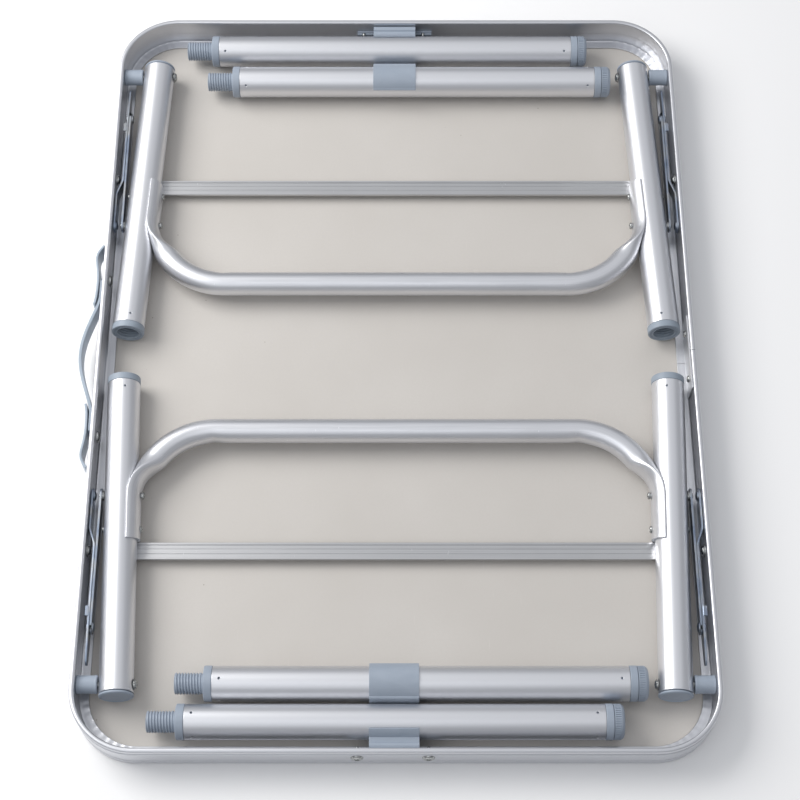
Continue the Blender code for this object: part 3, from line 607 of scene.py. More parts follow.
def rounded_rectangle(low, high, radius, z, steps=20):
    points = []
    corners = ((high.x, high.y, 1, 1, 0), (low.x, high.y, -1, 1, 90),
               (low.x, low.y, -1, -1, 180), (high.x, low.y, 1, -1, 270))
    for x, y, side_x, side_y, start in corners:
        centre = (x - side_x * radius, y - side_y * radius)
        for px, py in arc(centre, radius, start, start + 90, steps):
            points.append(Vector((px, py, z)))
    return points


def make_panel():
    """The board, rebated round its use face so that the rail's border lies flush."""
    low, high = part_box("panel")
    rail_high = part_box("edge_frame")[1]
    radius = CORNER_RADIUS - (rail_high.x - high.x)
    panel = drawn("tabletop_panel", rounded_rectangle(low, high, radius, high.z))
    pull(Vector((0, 0, PANEL_STEP - high.z)))
    select_faces(panel, lambda middle, _: abs(middle.z - PANEL_STEP) < 1e-5)
    bpy.ops.mesh.inset(thickness=PANEL_INSET)
    pull(Vector((0, 0, -PANEL_STEP)))
    finished(panel, 0.0002, 1)
    mounted(panel, "tabletop", "laminate", "laminate", "panel")


def make_edge_rail():
    """One extrusion drawn along the right side and bent round the four corners."""
    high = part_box("edge_frame")[1]
    top = (0, high.z)
    section = mm((0, 1.4), (0.4, 0.5), (1.4, 0), (6.6, 0), (7.0, 0.4), (7.0, 1.2),
                 (3.0, 1.2), (3.0, 5.2), (12.8, 5.2), (13.2, 5.4), (13.2, 6.1),
                 (12.9, 6.4), (11.6, 6.4), (9.8, 6.4), (7.8, 6.4), (6.2, 6.4),
                 (5.2, 6.7), (4.7, 7.4), (4.6, 8.6), (4.6, 19.0), (4.4, 19.3),
                 (4.4, 20.1), (4.6, 20.4))
    section += mm((4.6, -1.3), (4.3, -0.6), (3.7, -0.2), (2.8, 0), (1.8, 0), (0.9, -0.3),
                  (0.3, -0.9), (0, -1.7), (0, -3.4), (0.6, -3.8), (2.2, -4.6),
                  (2.4, -6.6), (1.2, -7.8), (0, -8.4), at=top)
    section += mm((0, 10.4), (0.6, 9.9), (0.6, 8.6), (0, 8.1))
    start_y = RAIL_SEAM / 2
    outline = [Vector((high.x - inset, start_y, z)) for inset, z in section]
    rail = drawn("edge_rail", outline)
    reach_x = high.x - CORNER_RADIUS
    reach_y = high.y - CORNER_RADIUS
    runs = ((0, reach_y - start_y), (-2 * reach_x, 0), (0, -2 * reach_y),
            (2 * reach_x, 0))
    bends = ((reach_x, reach_y), (-reach_x, reach_y), (-reach_x, -reach_y),
             (reach_x, -reach_y))
    for (run_x, run_y), (bend_x, bend_y) in zip(runs, bends):
        pull(Vector((run_x, run_y, 0)))
        bpy.ops.mesh.spin(steps=CORNER_STEPS, angle=math.pi / 2,
                          center=(bend_x, bend_y, 0), axis=(0, 0, -1))
    pull(Vector((0, reach_y - start_y, 0)))
    finished(rail)
    crimp_lip(rail, reach_x, reach_y)
    map_rail(rail, reach_x, reach_y)
    mounted(rail, "tabletop", "rail_aluminium", "extruded_aluminium", "edge_frame")


def crimp_lip(rail, reach_x, reach_y):
    """Presses the lip's spare metal into small waves round each corner."""
    lip_start = RAIL_WALL + PLAY
    fully_waved = 0.006
    low, high = LIP_BAND
    for corner in rail.data.vertices:
        across = abs(corner.co.x) - reach_x
        along = abs(corner.co.y) - reach_y
        inset = CORNER_RADIUS - math.hypot(across, along)
        on_lip = lip_start < inset < RAIL_LIP + PLAY and low < corner.co.z < high
        if across <= 0 or along <= 0 or not on_lip:
            continue
        turn = math.atan2(along, across) / (math.pi / 2)
        reach = min(1.0, (inset - lip_start) / fully_waved)
        fade = min(1.0, 6 * turn, 6 * (1 - turn))
        wave = 0.5 - 0.5 * math.cos(2 * math.pi * CRIMPS * turn)
        uneven = 0.75 + 0.5 * noise.noise(corner.co * 60 + Vector((3, 7, 1)))
        corner.co.z += CRIMP_HEIGHT * reach * fade * wave * uneven


def map_rail(rail, reach_x, reach_y):
    """A UV map that runs along the rail and round its section, in metres."""
    grain = rail.data.uv_layers.new(name="grain")
    quarter = CORNER_RADIUS * math.pi / 2
    for loop in rail.data.loops:
        spot = rail.data.vertices[loop.vertex_index].co
        across = abs(spot.x) - reach_x
        along = abs(spot.y) - reach_y
        if across > 0 and along > 0:
            run = reach_y + math.atan2(along, across) / (math.pi / 2) * quarter
            inset = CORNER_RADIUS - math.hypot(across, along)
        elif along > 0:
            run = reach_y + quarter + (reach_x - abs(spot.x))
            inset = CORNER_RADIUS - along
        else:
            run = abs(spot.y)
            inset = CORNER_RADIUS - across
        grain.data[loop.index].uv = (run, inset + spot.z)


def make_splice():
    """The strip behind the rail's seam, with eased ends."""
    low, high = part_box("splice_plate")
    cut = 0.001
    outline = [
        (low.y + cut, low.z), (high.y - cut, low.z), (high.y, low.z + cut),
        (high.y, high.z - cut), (high.y - cut, high.z), (low.y + cut, high.z),
        (low.y, high.z - cut), (low.y, low.z + cut),
    ]
    plate = prism("splice_strip", [Vector((low.x, y, z)) for y, z in outline],
                  (high.x - low.x, 0, 0))
    finished(plate, 0.0002)
    mounted(plate, "tabletop", "rail_aluminium_along", "extruded_aluminium", "splice_plate")


def make_clips():
    """Bent plastic strips. Each holds both extension legs of one end."""
    for end, along in ENDS:
        make_clip(end, along)
    low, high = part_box("extension_clip_far")
    middle_x = (low.x + high.x) / 2
    base_half = (high.x - low.x) / 2
    back = high.y - 0.0001
    base = mm((0, 11.0), (0, 23.0), (-1.4, 23.0), (-1.4, 21.2), (-2.5, 20.8), (-2.5, 20.0),
              (-1.4, 19.6), (-1.4, 11.0), at=(back, 0))
    tabs = prism("clip_base", [Vector((middle_x - base_half, y, z)) for y, z in base],
                 (2 * base_half, 0, 0))
    finished(tabs, 0.0002)
    at_ends(tabs, "clip_base", "tabletop", "grey_plastic", "grey_plastic")


def make_clip(end, along):
    """Hooked over the outer tube, under it, up between the tubes and over the inner one."""
    low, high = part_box("extension_clip_" + end)
    outer_low, outer_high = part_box("extension_tube_" + end + "_outer")
    inner_low, inner_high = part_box("extension_tube_" + end + "_inner")
    sheet = 0.0016
    wall = max(abs(low.y), abs(high.y)) - sheet / 2
    floor = low.z + sheet / 2
    over_lip = floor + 0.0015
    wrap = TUBE_RADIUS + PLAY + sheet / 2
    height = (outer_low.z + outer_high.z) / 2
    outer = (abs(outer_low.y + outer_high.y) / 2, height)
    inner = (abs(inner_low.y + inner_high.y) / 2, height)
    between = inner[0] + wrap
    line = arc(outer, wrap, 56, 26, 8)
    line += mm((-4.8, 28.7), (-3.4, 30.2), (-1.6, 30.9), (-0.3, 30.4), (0, 29.0), (0, 20.0),
               at=(wall, 0))
    line += mm((0, 1.2), (-0.4, 0.3), (-1.4, 0), at=(wall, over_lip))
    line += mm((360.5, 0), (359.0, -0.4), at=(0, over_lip))
    line += mm((357.5, 0.4), (356.0, 0), at=(0, floor))
    line += mm((2.2, 0), (0.9, 0.3), (0.2, 1.1), (0, 2.4), at=(between, floor))
    line += arc(inner, wrap, 0, 148, 40)
    line += arc(inner, wrap + 0.0004, 151, 154, 2)
    outline = sheet_outline(line, sheet)
    start = (low.x + high.x) / 2 - CLIP_WIDTH / 2
    points = [Vector((start, along * p.x, p.y)) for p in outline]
    strip = prism("strip", points, (CLIP_WIDTH, 0, 0))
    finished(strip, 0.0003)
    crest = []
    for angle, reach in ((22, 0), (24, 0.9), (27, 1.4), (31, 1.4), (34, 0.9), (36, 0)):
        turn = math.radians(angle)
        away = wrap + sheet / 2 - 0.0002 + reach / 1000
        crest.append(Vector((start + 0.0001, along * (inner[0] + away * math.cos(turn)),
                             height + away * math.sin(turn))))
    rib = prism("rib", crest, (CLIP_WIDTH - 0.0002, 0, 0))
    finished(rib, 0.0002)
    clip = joined("extension_clip_" + end + "_bent", [strip, rib])
    mounted(clip, "tabletop", "grey_plastic", "grey_plastic", "extension_clip_" + end)


def make_handle():
    """A springy plastic strap that slides in two screwed end covers."""
    low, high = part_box("handle_strap")
    middle_z = (low.z + high.z) / 2
    wall = high.x
    sheet = 0.003
    steps = 56
    reach = high.y
    bow = high.x - low.x - sheet
    line = []
    for i in range(steps + 1):
        y = reach * (2 * i / steps - 1)
        rise = max(0.0, 1 - abs(y) / (reach - 0.018))
        line.append((wall - sheet / 2 - bow * math.sin(rise * math.pi / 2) ** 1.4, y))
    outline = sheet_outline(line, sheet)
    strap = drawn("handle_strap_bowed", [Vector((p.x, p.y, low.z)) for p in outline])
    for share in (0.18, 0.82, 1.0):
        level = low.z + (high.z - low.z) * share
        done = bmesh.from_edit_mesh(strap.data)
        at = max(v.co.z for v in done.verts)
        pull(Vector((0, 0, level - at)))
    finished(strap, 0.0007, 3)
    mounted(strap, "tabletop", "handle_plastic", "grey_plastic", "handle_strap")

    line = mm((-6.6, 51.5), (-5.9, 54.5), (-5.1, 60.0), (-4.7, 68.0), (-4.6, 76.0),
              (-4.8, 82.0), (-5.4, 88.0), (-6.3, 93.5), (-7.1, 98.0), (-7.3, 102.0),
              (-6.6, 106.0), (-5.0, 109.5), (-3.0, 112.5), (-1.3, 115.0), at=(wall, 0))
    outline = sheet_outline(line, 0.0022)
    cover_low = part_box("handle_end_far")[0].z
    cover = drawn("handle_cover", [Vector((p.x, p.y, cover_low)) for p in outline])
    pull(Vector((0, 0, 2 * (middle_z - cover_low))))
    finished(cover, 0.0006, 3)
    at_ends(cover, "handle_cover", "tabletop", "handle_plastic", "grey_plastic",
            "handle_end")


# Fasteners

def screw_head(name, radius, height):
    """A pan head with a cross recess, on the origin, facing up."""
    shares = ((0, 1), (0.30, 0.99), (0.62, 0.90), (0.86, 0.70), (0.97, 0.42), (1, 0.15))
    steps = [(-0.0003, radius * 0.96)] + [(height * a, radius * b) for a, b in shares]
    head = finished(turned(name, steps, (0, 0, 0), (0, 0, 1), 28))
    arm = radius * 0.62
    rib = radius * 0.16
    plus = [
        (arm, -rib), (arm, rib), (rib, rib), (rib, arm), (-rib, arm), (-rib, rib),
        (-arm, rib), (-arm, -rib), (-rib, -rib), (-rib, -arm), (rib, -arm), (rib, -rib),
    ]
    bit = drawn("bit", [Vector((x, y, height * 1.3)) for x, y in plus])
    pull(Vector((0, 0, -height * 0.9)))
    bpy.ops.transform.resize(value=(0.55, 0.55, 1.0),
                             center_override=Vector((0, 0, height * 0.4)))
    finished(bit)
    taken(head, bit)
    thrown_away(bit)
    return head


def rivet_head(name, radius, height):
    """A low round head with a small dimple, on the origin, facing up."""
    shares = ((0, 1), (0.45, 0.96), (0.80, 0.78), (0.98, 0.50), (1, 0.34), (0.80, 0.24),
              (0.55, 0.20), (0.50, 0.06))
    steps = [(-0.0003, radius)] + [(height * a, radius * b) for a, b in shares]
    return finished(turned(name, steps, (0, 0, 0), (0, 0, 1), 24))


def washer(name, radius, hole, height):
    steps = [(0, hole), (0, radius), (height, radius), (height, hole), (0, hole)]
    ring = turned(name, steps, (0, 0, 0), (0, 0, 1), 28, hollow=True)
    return finished(ring, 0.00015)


def placed(model, name, place, way, spin=0.0):
    return copied(model, name, facing(Vector(place), way, spin))


def make_fasteners():
    wide = screw_head("wide_pan_head", 0.0054, 0.0024)
    pan = screw_head("pan_head", 0.0042, 0.0022)
    small_pan = screw_head("small_pan_head", 0.0033, 0.0018)
    rivet = rivet_head("round_head", 0.0042, 0.0017)
    small_rivet = rivet_head("small_round_head", 0.003, 0.0013)
    ring = washer("flat_ring", 0.005, 0.0022, 0.0007)
    wide_ring = washer("wide_ring", 0.0058, 0.0022, 0.001)
    steel = ("screw_steel", "steel")
    outward = (1, 0, 0)
    inward = (-1, 0, 0)
    rail_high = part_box("edge_frame")[1]
    inner_wall = rail_high.x - RAIL_WALL

    bolt_low, bolt_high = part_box("hinge_bolt_far_right")
    seat = Vector((bolt_low.x + HEAD_SINK, HINGE.y, HINGE.z))
    shaft = rod("shaft", 0.0029, bolt_high.x - seat.x, seat)
    collar = placed(ring, "collar", seat + Vector((0.0006, 0, 0)), inward)
    head = placed(pan, "head", seat, inward, 0.5)
    bolt = joined("hinge_bolt", [head, shaft, collar])
    at_corners(bolt, "hinge_bolt", "tabletop", *steel, "hinge_bolt")
    outer = placed(rivet, "hinge_nut", (rail_high.x, HINGE.y, HINGE.z), outward)
    at_corners(outer, "hinge_nut", "tabletop", *steel)

    bolt_low, bolt_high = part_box("brace_bolt_far_right")
    seat = Vector((bolt_low.x + HEAD_SINK, PIVOT_Y, HINGE.z))
    shaft = rod("shaft", 0.0024, bolt_high.x - seat.x - 0.0019, seat)
    head = placed(small_pan, "head", seat, inward, 0.9)
    end = placed(small_rivet, "end", (bolt_high.x - 0.002, PIVOT_Y, HINGE.z), outward)
    flare = rod("flare", 0.0044, 0.0022, (0.2592, PIVOT_Y, HINGE.z), sides=24, bevel=0.0003)
    bolt = joined("brace_bolt", [head, shaft, end, flare])
    at_corners(bolt, "brace_bolt", "legs_{end}", *steel, "brace_bolt")

    centre = HINGE + LEG_WAY * (HINGE.y - BRACE_SCREW_Y) / math.cos(SPLAY)
    inner_x = centre.x - LEG_RADIUS - BRACE_PRESSED - 0.0004
    screw = placed(small_pan, "brace_screw", (inner_x, centre.y, HINGE.z), inward, 0.2)
    outer_x = centre.x + LEG_RADIUS - 0.0001
    tail = placed(small_rivet, "tail", (outer_x, centre.y, HINGE.z), outward)
    at_corners(joined("brace_screw", [screw, tail]), "brace_screw", "legs_{end}", *steel)

    place = Vector((inner_wall, *RAIL_SCREW))
    under = placed(wide_ring, "under", place, inward)
    stop = placed(pan, "stop", place - Vector((0.001, 0, 0)), inward, 0.7)
    at_corners(joined("rail_screw", [stop, under]), "rail_screw", "tabletop", *steel)

    splice_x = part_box("splice_plate")[0].x
    for end, y in SPLICE_SCREWS:
        place = (splice_x, y, SMALL_SCREW_Z)
        screw = placed(small_pan, "splice_screw_" + end, place, inward, y * 40)
        mounted(screw, "tabletop", *steel)

    clip_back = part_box("extension_clip_far")[1].y
    for side, x in CLIP_SCREWS:
        name = "clip_screw_" + side
        head = placed(wide, "head", (x, rail_high.y, SMALL_SCREW_Z), (0, 1, 0), x * 30)
        tip_steps = mm((0, 1.8), (3.0, 1.7), (4.2, 1.1), (4.9, 0.3))
        tip = finished(turned("tip", tip_steps, (x, clip_back + 0.0002, SMALL_SCREW_Z),
                              (0, -1, 0), 16))
        at_ends(joined(name, [head, tip]), name, "tabletop", *steel)

    screw = placed(wide, "handle_screw", (-inner_wall, *HANDLE_SCREW), outward, 0.4)
    at_ends(screw, "handle_screw", "tabletop", *steel)
    thrown_away(pan, small_pan, rivet, small_rivet, ring, wide_ring, wide)


# Leg frames

def prick_tool(radius, start, way, at, phase):
    """Four punched dents with a small hole, evenly round a tube, as one cutter."""
    first, second = across_from(way)
    teeth = []
    for i in range(4):
        angle = phase + i * math.pi / 2
        spoke = -first * math.cos(angle) + second * math.sin(angle)
        place = start + way * at + spoke * (radius + 0.0004)
        steps = mm((0, 1.8), (0.3, 1.5), (0.6, 1.1), (0.8, 1.0), (3.4, 1.0))
        teeth.append(finished(turned("tooth", steps, place, -spoke, 16)))
    return joined("pricks", teeth)


def make_legs():
    leg = pipe("leg_tube", (LEG_START, LEG_END), LEG_RADIUS, LEG_BORE, HINGE, LEG_WAY)
    tool = prick_tool(LEG_RADIUS, HINGE, LEG_WAY, LEG_END - PRICK_FROM_END, -0.20)
    taken(leg, tool)
    thrown_away(tool)
    wrap_grain(leg, HINGE, LEG_WAY)
    at_corners(leg, "leg_tube", "legs_{end}", "drawn_aluminium", "anodised_aluminium",
               "leg_tube")

    steps = mm((3.5, 13.0), (0.1, 13.0), (-0.4, 13.8), (-0.7, 14.7), (-1.0, 14.9),
               (-2.0, 14.9), (-2.3, 14.7), (-2.4, 14.2), (-2.6, 14.1), (-2.9, 13.7),
               (-3.0, 13.0), (-2.8, 12.6), (-2.4, 12.3), (-2.4, 4.0), (-2.6, 2.2),
               (-2.7, 0.8), at=(LEG_START - PLAY, 0))
    plug = finished(turned("leg_plug", steps, HINGE, LEG_WAY, 64))
    at_corners(plug, "leg_plug", "legs_{end}", "grey_plastic", "grey_plastic", "leg_plug")

    face = LEG_END + PLAY
    end = face + SOCKET_RING
    back = face - SOCKET_DEPTH
    steps = [(back, 0.013)] + mm((0, 13.0), (0, 14.8), (0.3, 15.0), at=(face, 0))
    steps += mm((-0.6, 15.0), (-0.2, 14.8), (0, 14.4), (0, 13.2), (-0.4, 12.9),
                (-0.4, 10.9), (0, 10.7), (0, 10.3), (-0.5, 9.9), at=(end, 0))
    at = end - 0.002
    while at > back + 0.0018:
        steps += mm((0, 9.9), (-0.5, 10.5), (-1.1, 10.5), (-1.6, 9.9), at=(at, 0))
        at -= THREAD_PITCH
    steps += [(back, 0.0099), (back, 0.013)]
    socket = turned("leg_socket", steps, HINGE, LEG_WAY, SOCKET_SIDES, hollow=True)
    finished(socket)
    pick_up(socket)
    bpy.ops.object.mode_set(mode="EDIT")

    def on_rim(spot, normal):
        flat = abs(spot.dot(LEG_WAY)) < 1e-5 and abs(normal.dot(LEG_WAY)) > 0.9
        return flat and 0.011 < spot.length < 0.013

    rim = HINGE + LEG_WAY * (end - 0.0004)
    press_teeth(socket, rim, LEG_WAY, SOCKET_SIDES, on_rim, 0.00012)
    at_corners(socket, "leg_socket", "legs_{end}", "socket_plastic", "grey_plastic",
               "leg_socket")


def brace_sections():
    """Sections from the middle of the far brace to its pressed tip on the right leg."""
    flat_half = BRACE_PRESSED / 2
    offset = LEG_RADIUS + PLAY + flat_half
    turn = math.pi / 2 + SPLAY
    bend_end_y = BRACE_Y + BRACE_BEND * (1 - math.cos(turn))
    leg_x = HINGE.x + (HINGE.y - bend_end_y) * math.tan(SPLAY)
    bend_start_x = leg_x - offset / math.cos(SPLAY) - BRACE_BEND * math.sin(turn)
    stations = []
    run = 0.0
    straight_steps = 24
    for i in range(straight_steps):
        x = bend_start_x * i / straight_steps
        stations.append((Vector((x, BRACE_Y, HINGE.z)), 0.0, x))
    bend_steps = 44
    for i in range(bend_steps + 1):
        angle = turn * i / bend_steps
        x = bend_start_x + BRACE_BEND * math.sin(angle)
        y = BRACE_Y + BRACE_BEND * (1 - math.cos(angle))
        stations.append((Vector((x, y, HINGE.z)), angle, bend_start_x + angle * BRACE_BEND))
    end, _, run = stations[-1]
    straight = (BRACE_TIP - end.y) / math.cos(SPLAY)
    for i in range(1, 13):
        ahead = Vector((math.cos(turn), math.sin(turn), 0))
        stations.append((end + ahead * straight * i / 12, turn, run + straight * i / 12))
    sections = []
    sides = 48
    for centre, angle, run in stations:
        inward = Vector((-math.sin(angle), math.cos(angle), 0))
        leg_line = HINGE.x + (HINGE.y - centre.y) * math.tan(SPLAY)
        to_leg = (leg_line - centre.x) * math.cos(SPLAY)
        pressed = min(max((PRESS_START - to_leg) / (PRESS_START - offset), 0.0), 1.0)
        pressed = pressed * pressed * (3 - 2 * pressed)
        inner_half = BRACE_RADIUS + (flat_half - BRACE_RADIUS) * pressed
        height = BRACE_RADIUS + (BRACE_FLAT_HALF - BRACE_RADIUS) * pressed
        dent = math.exp(-((run - bend_start_x - 0.003) / 0.006) ** 2)
        ring = []
        for i in range(sides):
            around = 2 * math.pi * i / sides
            out = math.cos(around)
            reach = inner_half if out > 0 else BRACE_RADIUS
            u = out * reach - DENT_DEPTH * dent * max(0.0, out) ** 3
            v = math.sin(around) * height
            bend = (v + BRACE_LIFT * pressed) / to_leg
            bent_u = (to_leg + u) * math.cos(bend) - to_leg
            bent_v = (to_leg + u) * math.sin(bend)
            u += (bent_u - u) * pressed
            v += (bent_v - v) * pressed
            push = max(1.0, (LEG_RADIUS + PLAY) / math.hypot(to_leg + u, v))
            u = (to_leg + u) * push - to_leg
            v *= push
            ring.append(centre + inward * u + Vector((0, 0, v)))
        sections.append((ring, run))
    for point in sections[-1][0]:
        point.y += TIP_SLOPE * ((point.z - HINGE.z) / BRACE_FLAT_HALF - 1)
    return sections


def make_brace():
    """A bent tube whose ends are pressed flat round the legs, section by section."""
    half = brace_sections()
    mirrored = [([Vector((-p.x, p.y, p.z)) for p in ring], -run) for ring, run in half[1:]]
    sections = mirrored[::-1] + half
    shape = bmesh.new()
    grain = shape.loops.layers.uv.new("grain")
    made = [[shape.verts.new(point) for point in ring] for ring, _ in sections]
    count = len(made[0])
    for k, (first, second) in enumerate(zip(made, made[1:])):
        for i in range(count):
            j = (i + 1) % count
            face = shape.faces.new((first[i], first[j], second[j], second[i]))
            spots = ((k, i), (k, i + 1), (k + 1, i + 1), (k + 1, i))
            for loop, (step, side) in zip(face.loops, spots):
                around = side / count * 2 * math.pi * BRACE_RADIUS
                loop[grain].uv = (sections[step][1], around)
    shape.faces.new(made[0])
    shape.faces.new(made[-1])
    bmesh.ops.recalc_face_normals(shape, faces=shape.faces)
    mesh = bpy.data.meshes.new("brace")
    shape.to_mesh(mesh)
    shape.free()
    brace = bpy.data.objects.new("brace", mesh)
    bpy.context.collection.objects.link(brace)
    at_ends(brace, "brace", "legs_{end}", "brace_aluminium", "anodised_aluminium", "brace")


def make_crossbar():
    """A flat extruded bar with a raised edge on each side and two fine lines."""
    low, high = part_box("crossbar_far")
    dip = 0.0007
    line = (low.y + high.y) / 2
    right = mm((-0.2, 0), (0, 0.2), at=(high.y, low.z))
    right += mm((0, -0.3), (-0.3, 0), (-2.1, 0), (-2.5, -0.7), at=(high.y, high.z))
    right += mm((2.6, 0), (2.4, 0.3), (2.0, 0.3), (1.8, 0), at=(line, high.z - dip))
    section = right + [(2 * line - y, z) for y, z in right[::-1]]
    section = section[-2:] + section[:-2]
    bar = prism("crossbar", [Vector((low.x, y, z)) for y, z in section],
                (high.x - low.x, 0, 0))
    finished(bar)
    at_ends(bar, "crossbar", "legs_{end}", "bar_aluminium", "extruded_aluminium",
            "crossbar")


def make_hinge_spacers():
    low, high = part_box("hinge_spacer_far_right")
    steps = mm((0, 3.4), (0, 7.4), (0.6, 8.0), (2.2, 8.0), (2.6, 7.7), at=(low.x, 0))
    steps += mm((-2.6, 7.7), (-2.2, 8.0), (-0.5, 8.0), (0, 7.6), (0, 3.4), at=(high.x, 0))
    steps.append(steps[0])
    spacer = finished(turned("hinge_spacer", steps, (0, HINGE.y, HINGE.z), (1, 0, 0), 48,
                             hollow=True))
    at_corners(spacer, "hinge_spacer", "tabletop", "grey_plastic", "grey_plastic",
               "hinge_spacer")


# Stays

def link_outline(x, length, beyond, tab_half):
    """A bar on edge from its pivot towards the hinge, with a round end at the pivot."""
    half = LINK_HALF
    points = [(PIVOT_Y + half * math.cos(math.radians(a)), half * math.sin(math.radians(a)))
              for a in range(90, 271, 12)]
    last = PIVOT_Y + length
    points.append((last + 0.004, -half))
    tip = last + beyond
    points += [(tip - tab_half + tab_half * math.cos(math.radians(a)),
                tab_half * math.sin(math.radians(a))) for a in range(-90, 91, 12)]
    points.append((last + 0.004, half))
    return [Vector((x, y, HINGE.z + z)) for y, z in points]


def make_stays():
    zinc = ("zinc_plate", "zinc_plated_steel")
    half = LINK_THICKNESS / 2
    blank = prism("rail_link", link_outline(RAIL_LINK_X - half, LINK_LENGTH, TAB_LENGTH,
                                            LINK_HALF * 0.7), (LINK_THICKNESS, 0, 0))
    for distance in (JOGGLE[0], (JOGGLE[0] + JOGGLE[1]) / 2, JOGGLE[1]):
        bpy.ops.mesh.select_all(action="SELECT")
        bpy.ops.mesh.bisect(plane_co=(0, PIVOT_Y + distance, 0), plane_no=(0, 1, 0))
    finished(blank, 0.0003)
    for corner in blank.data.vertices:
        share = (corner.co.y - PIVOT_Y - JOGGLE[0]) / (JOGGLE[1] - JOGGLE[0])
        share = min(max(share, 0.0), 1.0)
        corner.co.x += (RAIL_LINK_PIVOT_X - RAIL_LINK_X) * (1 - share)
    pin_x = RAIL_LINK_PIVOT_X - half
    head = rivet_head("pin_head", 0.0046, 0.0018)
    pin = copied(head, "pin", facing(Vector((pin_x, PIVOT_Y, HINGE.z)), (-1, 0, 0)))
    stub = rod("stub", 0.0024, 0.0051, (RAIL_LINK_PIVOT_X, PIVOT_Y, HINGE.z))
    knee = Vector((RAIL_LINK_X + half, KNEE_Y, HINGE.z))
    rivet = copied(head, "rivet", facing(knee, (1, 0, 0)))
    lip_low = knee + Vector((-0.0009, -0.0175, LINK_HALF - 0.0014))
    lip_line = mm((0, 0), (2.4, 0), (3.6, 0.3), (3.9, 1.0), (3.6, 1.7), (0.6, 1.7), (0, 1.2))
    lip = prism("lip", [lip_low + Vector((x, 0, z)) for x, z in lip_line], (0, 0.009, 0))
    finished(lip, 0.0002)
    rail_link = joined("rail_link", [blank, pin, stub, rivet, lip])
    at_corners(rail_link, "rail_link", "rail_stay_{corner}", *zinc, "rail_link")

    blank = prism("leg_link", link_outline(LEG_LINK_X - half, LINK_LENGTH, LINK_HALF,
                                           LINK_HALF), (LINK_THICKNESS, 0, 0))
    finished(blank, 0.0003)
    knee = Vector((LEG_LINK_X - half, KNEE_Y, HINGE.z))
    rivet = copied(head, "rivet", facing(knee, (-1, 0, 0)))
    leg_link = joined("leg_link", [blank, rivet])
    at_corners(leg_link, "leg_link", "leg_stay_{corner}", *zinc, "leg_link")
    thrown_away(head)


# Extension legs

def cut_thread(plug, start, way, first_at, last_at):
    """Turns a plain round stretch into a real screw thread."""
    first, second = across_from(way)
    for corner in plug.data.vertices:
        spot = corner.co - start
        at = spot.dot(way)
        out = spot - way * at
        if abs(out.length - THREAD_RADIUS) > 1e-5 or not first_at <= at <= last_at:
            continue
        turn = math.atan2(out.dot(second), out.dot(first)) / (2 * math.pi)
        phase = ((at - first_at) / THREAD_PITCH - turn) % 1.0
        groove = min(1.0, max(0.0, 1.6 - abs(phase - 0.5) * 5.2))
        fade = min(1.0, (at - first_at) / 0.0012, (last_at - at) / 0.0012)
        corner.co = start + way * at + out * (1 - THREAD_DEPTH * groove * fade
                                              / THREAD_RADIUS)


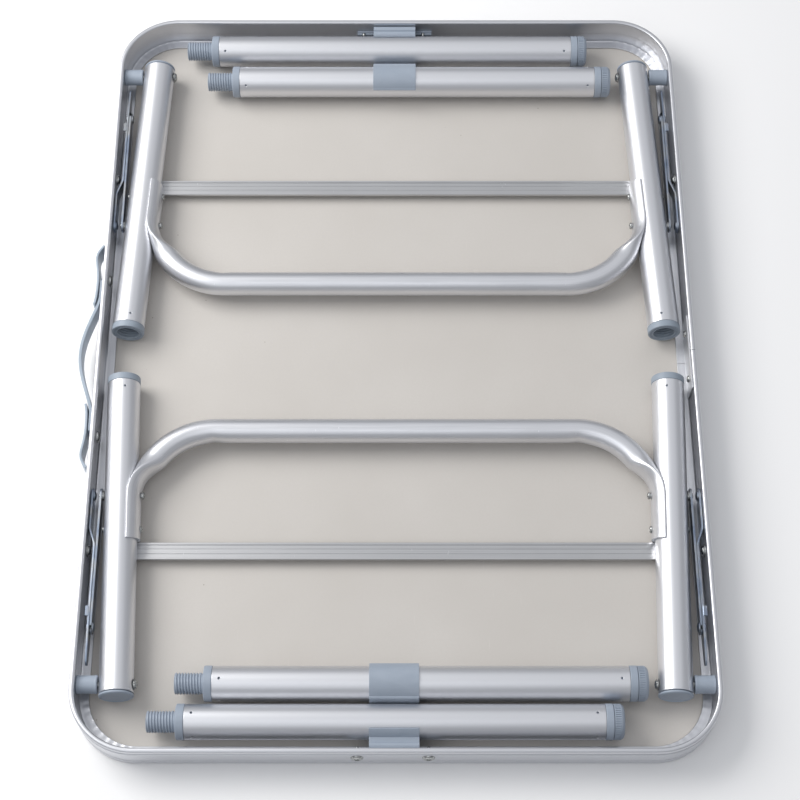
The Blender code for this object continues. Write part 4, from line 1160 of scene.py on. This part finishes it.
def make_extensions():
    low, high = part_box("extension_tube_far_outer")
    plug_low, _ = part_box("threaded_plug_far_outer")
    _, foot_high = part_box("foot_far_outer")
    right = Vector((1, 0, 0))
    axis = Vector((0, (low.y + high.y) / 2, (low.z + high.z) / 2))

    tube = pipe("extension_tube", (low.x, high.x), TUBE_RADIUS, TUBE_BORE, axis, right)
    for at in (low.x + 0.0062, high.x - 0.007):
        tool = prick_tool(TUBE_RADIUS, axis, right, at, 0.62)
        taken(tube, tool)
        thrown_away(tool)
    wrap_grain(tube, axis, right)

    start = axis + right * plug_low.x
    length = low.x - PLAY - plug_low.x
    thread_end = length - 0.007
    steps = mm((20.0, 5.4), (0.8, 5.5), (0.1, 6.2), (0, 7.8), (0.4, 8.8))
    rings_per_turn = 10
    rings = int(THREAD_TURNS * rings_per_turn)
    for i in range(rings + 1):
        steps.append((0.0008 + i * THREAD_PITCH / rings_per_turn, THREAD_RADIUS))
    thread_last = steps[-1][0]
    steps += [
        (thread_last + 0.0003, 0.0086), (thread_end - 0.0004, 0.0086),
        (thread_end, 0.0092), (thread_end, 0.0145), (thread_end + 0.0006, FLANGE_RADIUS),
        (length - 0.0008, FLANGE_RADIUS), (length, 0.0148), (length, 0.0131),
        (length + 0.022, 0.0131),
    ]
    plug = turned("threaded_plug", steps, start, right, 40)
    finished(plug)
    cut_thread(plug, start, right, 0.0008, thread_last)

    ring_start = high.x + PLAY
    ring_end = ring_start + FOOT_RING
    steps = mm((-18.0, 13.1), (0, 13.1), (0, 14.8), (0.5, 15.2), at=(ring_start, 0))
    steps += mm((-0.4, 15.2), (0, 14.8), (0, 5.4), at=(ring_end, 0))
    steps += mm((-18.0, 5.4), (-18.0, 13.1), at=(ring_start, 0))
    ring = finished(turned("foot_ring", steps, axis, right, 64, hollow=True))

    cap = ring_end + PLAY
    end = foot_high.x
    steps = [(ring_start - 0.014, 0.0048)]
    steps += mm((0, 4.8), (0, 14.4), (0.3, 15.0), (0.9, 15.0), (5.6, 15.0), (6.2, 15.0),
                at=(cap, 0))
    steps += mm((-1.2, 14.0), (-0.4, 13.4), (0, 12.4), (0, 10.0), (-0.5, 9.4), (-0.5, 5.0),
                at=(end, 0))
    foot = turned("foot_cap", steps, axis, right, FOOT_SIDES)
    ribs_middle = cap + 0.00325

    def on_ribs(spot, normal):
        return abs(normal.x) < 0.1 and abs(spot.x - ribs_middle) < 0.0006

    press_teeth(foot, axis, right, FOOT_SIDES, on_ribs, 0.00013)

    centre = axis.copy()
    for end_name, along in ENDS:
        for place_name in ("outer", "inner"):
            name = end_name + "_" + place_name
            there_low, there_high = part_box("extension_tube_" + name)
            middle = (there_low.y + there_high.y) / 2
            move = Matrix.Translation((there_low.x - low.x, middle, axis.z))
            roll = {"outer": 0.0, "inner": 0.25}[place_name] - along * 0.35
            move = move @ Matrix.Rotation(roll, 4, "X") @ Matrix.Translation(-centre)
            parts = (
                (tube, "extension_tube", "extension_", "drawn_aluminium",
                 "anodised_aluminium"),
                (plug, "threaded_plug", "extension_", "grey_plastic", "grey_plastic"),
                (ring, "foot_ring", "extension_", "grey_plastic", "grey_plastic"),
                (foot, "foot", "adjuster_", "grey_plastic", "grey_plastic"),
            )
            for model, node, body, finish, slot in parts:
                piece = copied(model, node + "_made_" + name, move)
                mounted(piece, body + name, finish, slot, node + "_" + name)
    thrown_away(tube, plug, ring, foot)


# Studio

def make_floor():
    put_down()
    bpy.ops.mesh.primitive_plane_add(size=24, location=(0, 0, -0.0006))
    floor = bpy.context.object
    floor.name = "studio_floor"
    pale = bpy.data.materials.new("studio_floor")
    pale.use_nodes = True
    shader = pale.node_tree.nodes["Principled BSDF"]
    shader.inputs["Base Color"].default_value = (0.94, 0.94, 0.94, 1)
    shader.inputs["Roughness"].default_value = 0.9
    shader.inputs["Specular IOR Level"].default_value = 0.1
    floor.data.materials.append(pale)


def soft_light(name, place, aim, width, depth, power, colour):
    data = bpy.data.lights.new(name, "AREA")
    data.shape = "RECTANGLE"
    data.size = width
    data.size_y = depth
    data.energy = power
    data.color = colour
    light = bpy.data.objects.new(name, data)
    light.location = place
    light.rotation_euler = (Vector(aim) - Vector(place)).to_track_quat("-Z", "Y").to_euler()
    bpy.context.collection.objects.link(light)


def make_studio():
    make_floor()
    soft_light("window_left", (-1.40, 0.55, 1.35), (0, 0, 0), 1.4, 1.2, 34,
               (1.0, 0.985, 0.965))
    soft_light("softbox_near", (-0.80, -1.25, 2.30), (0, 0, 0), 2.4, 2.0, 9,
               (0.95, 0.97, 1.0))
    soft_light("overhead", (0.0, 0.70, 2.40), (0, 0, 0), 4.5, 4.0, 16,
               (0.97, 0.98, 1.0))
    world = bpy.data.worlds.new("studio")
    bpy.context.scene.world = world
    world.use_nodes = True
    sky = world.node_tree.nodes["Background"]
    sky.inputs["Color"].default_value = (0.93, 0.95, 1.0, 1)
    sky.inputs["Strength"].default_value = 0.40
    bpy.context.scene.view_settings.view_transform = "Standard"


def make_camera():
    data = bpy.data.cameras.new("camera")
    data.sensor_width = 36
    data.lens = 80.05
    data.shift_x = 0.005
    camera = bpy.data.objects.new("camera", data)
    camera.location = (0, -0.7531, 1.4828)
    camera.rotation_euler = (math.radians(25.86), 0, 0)
    bpy.context.collection.objects.link(camera)
    bpy.context.scene.camera = camera


make_finishes()
make_panel()
make_edge_rail()
make_splice()
make_clips()
make_handle()
make_fasteners()
make_legs()
make_brace()
make_crossbar()
make_hinge_spacers()
make_stays()
make_extensions()
make_studio()
make_camera()
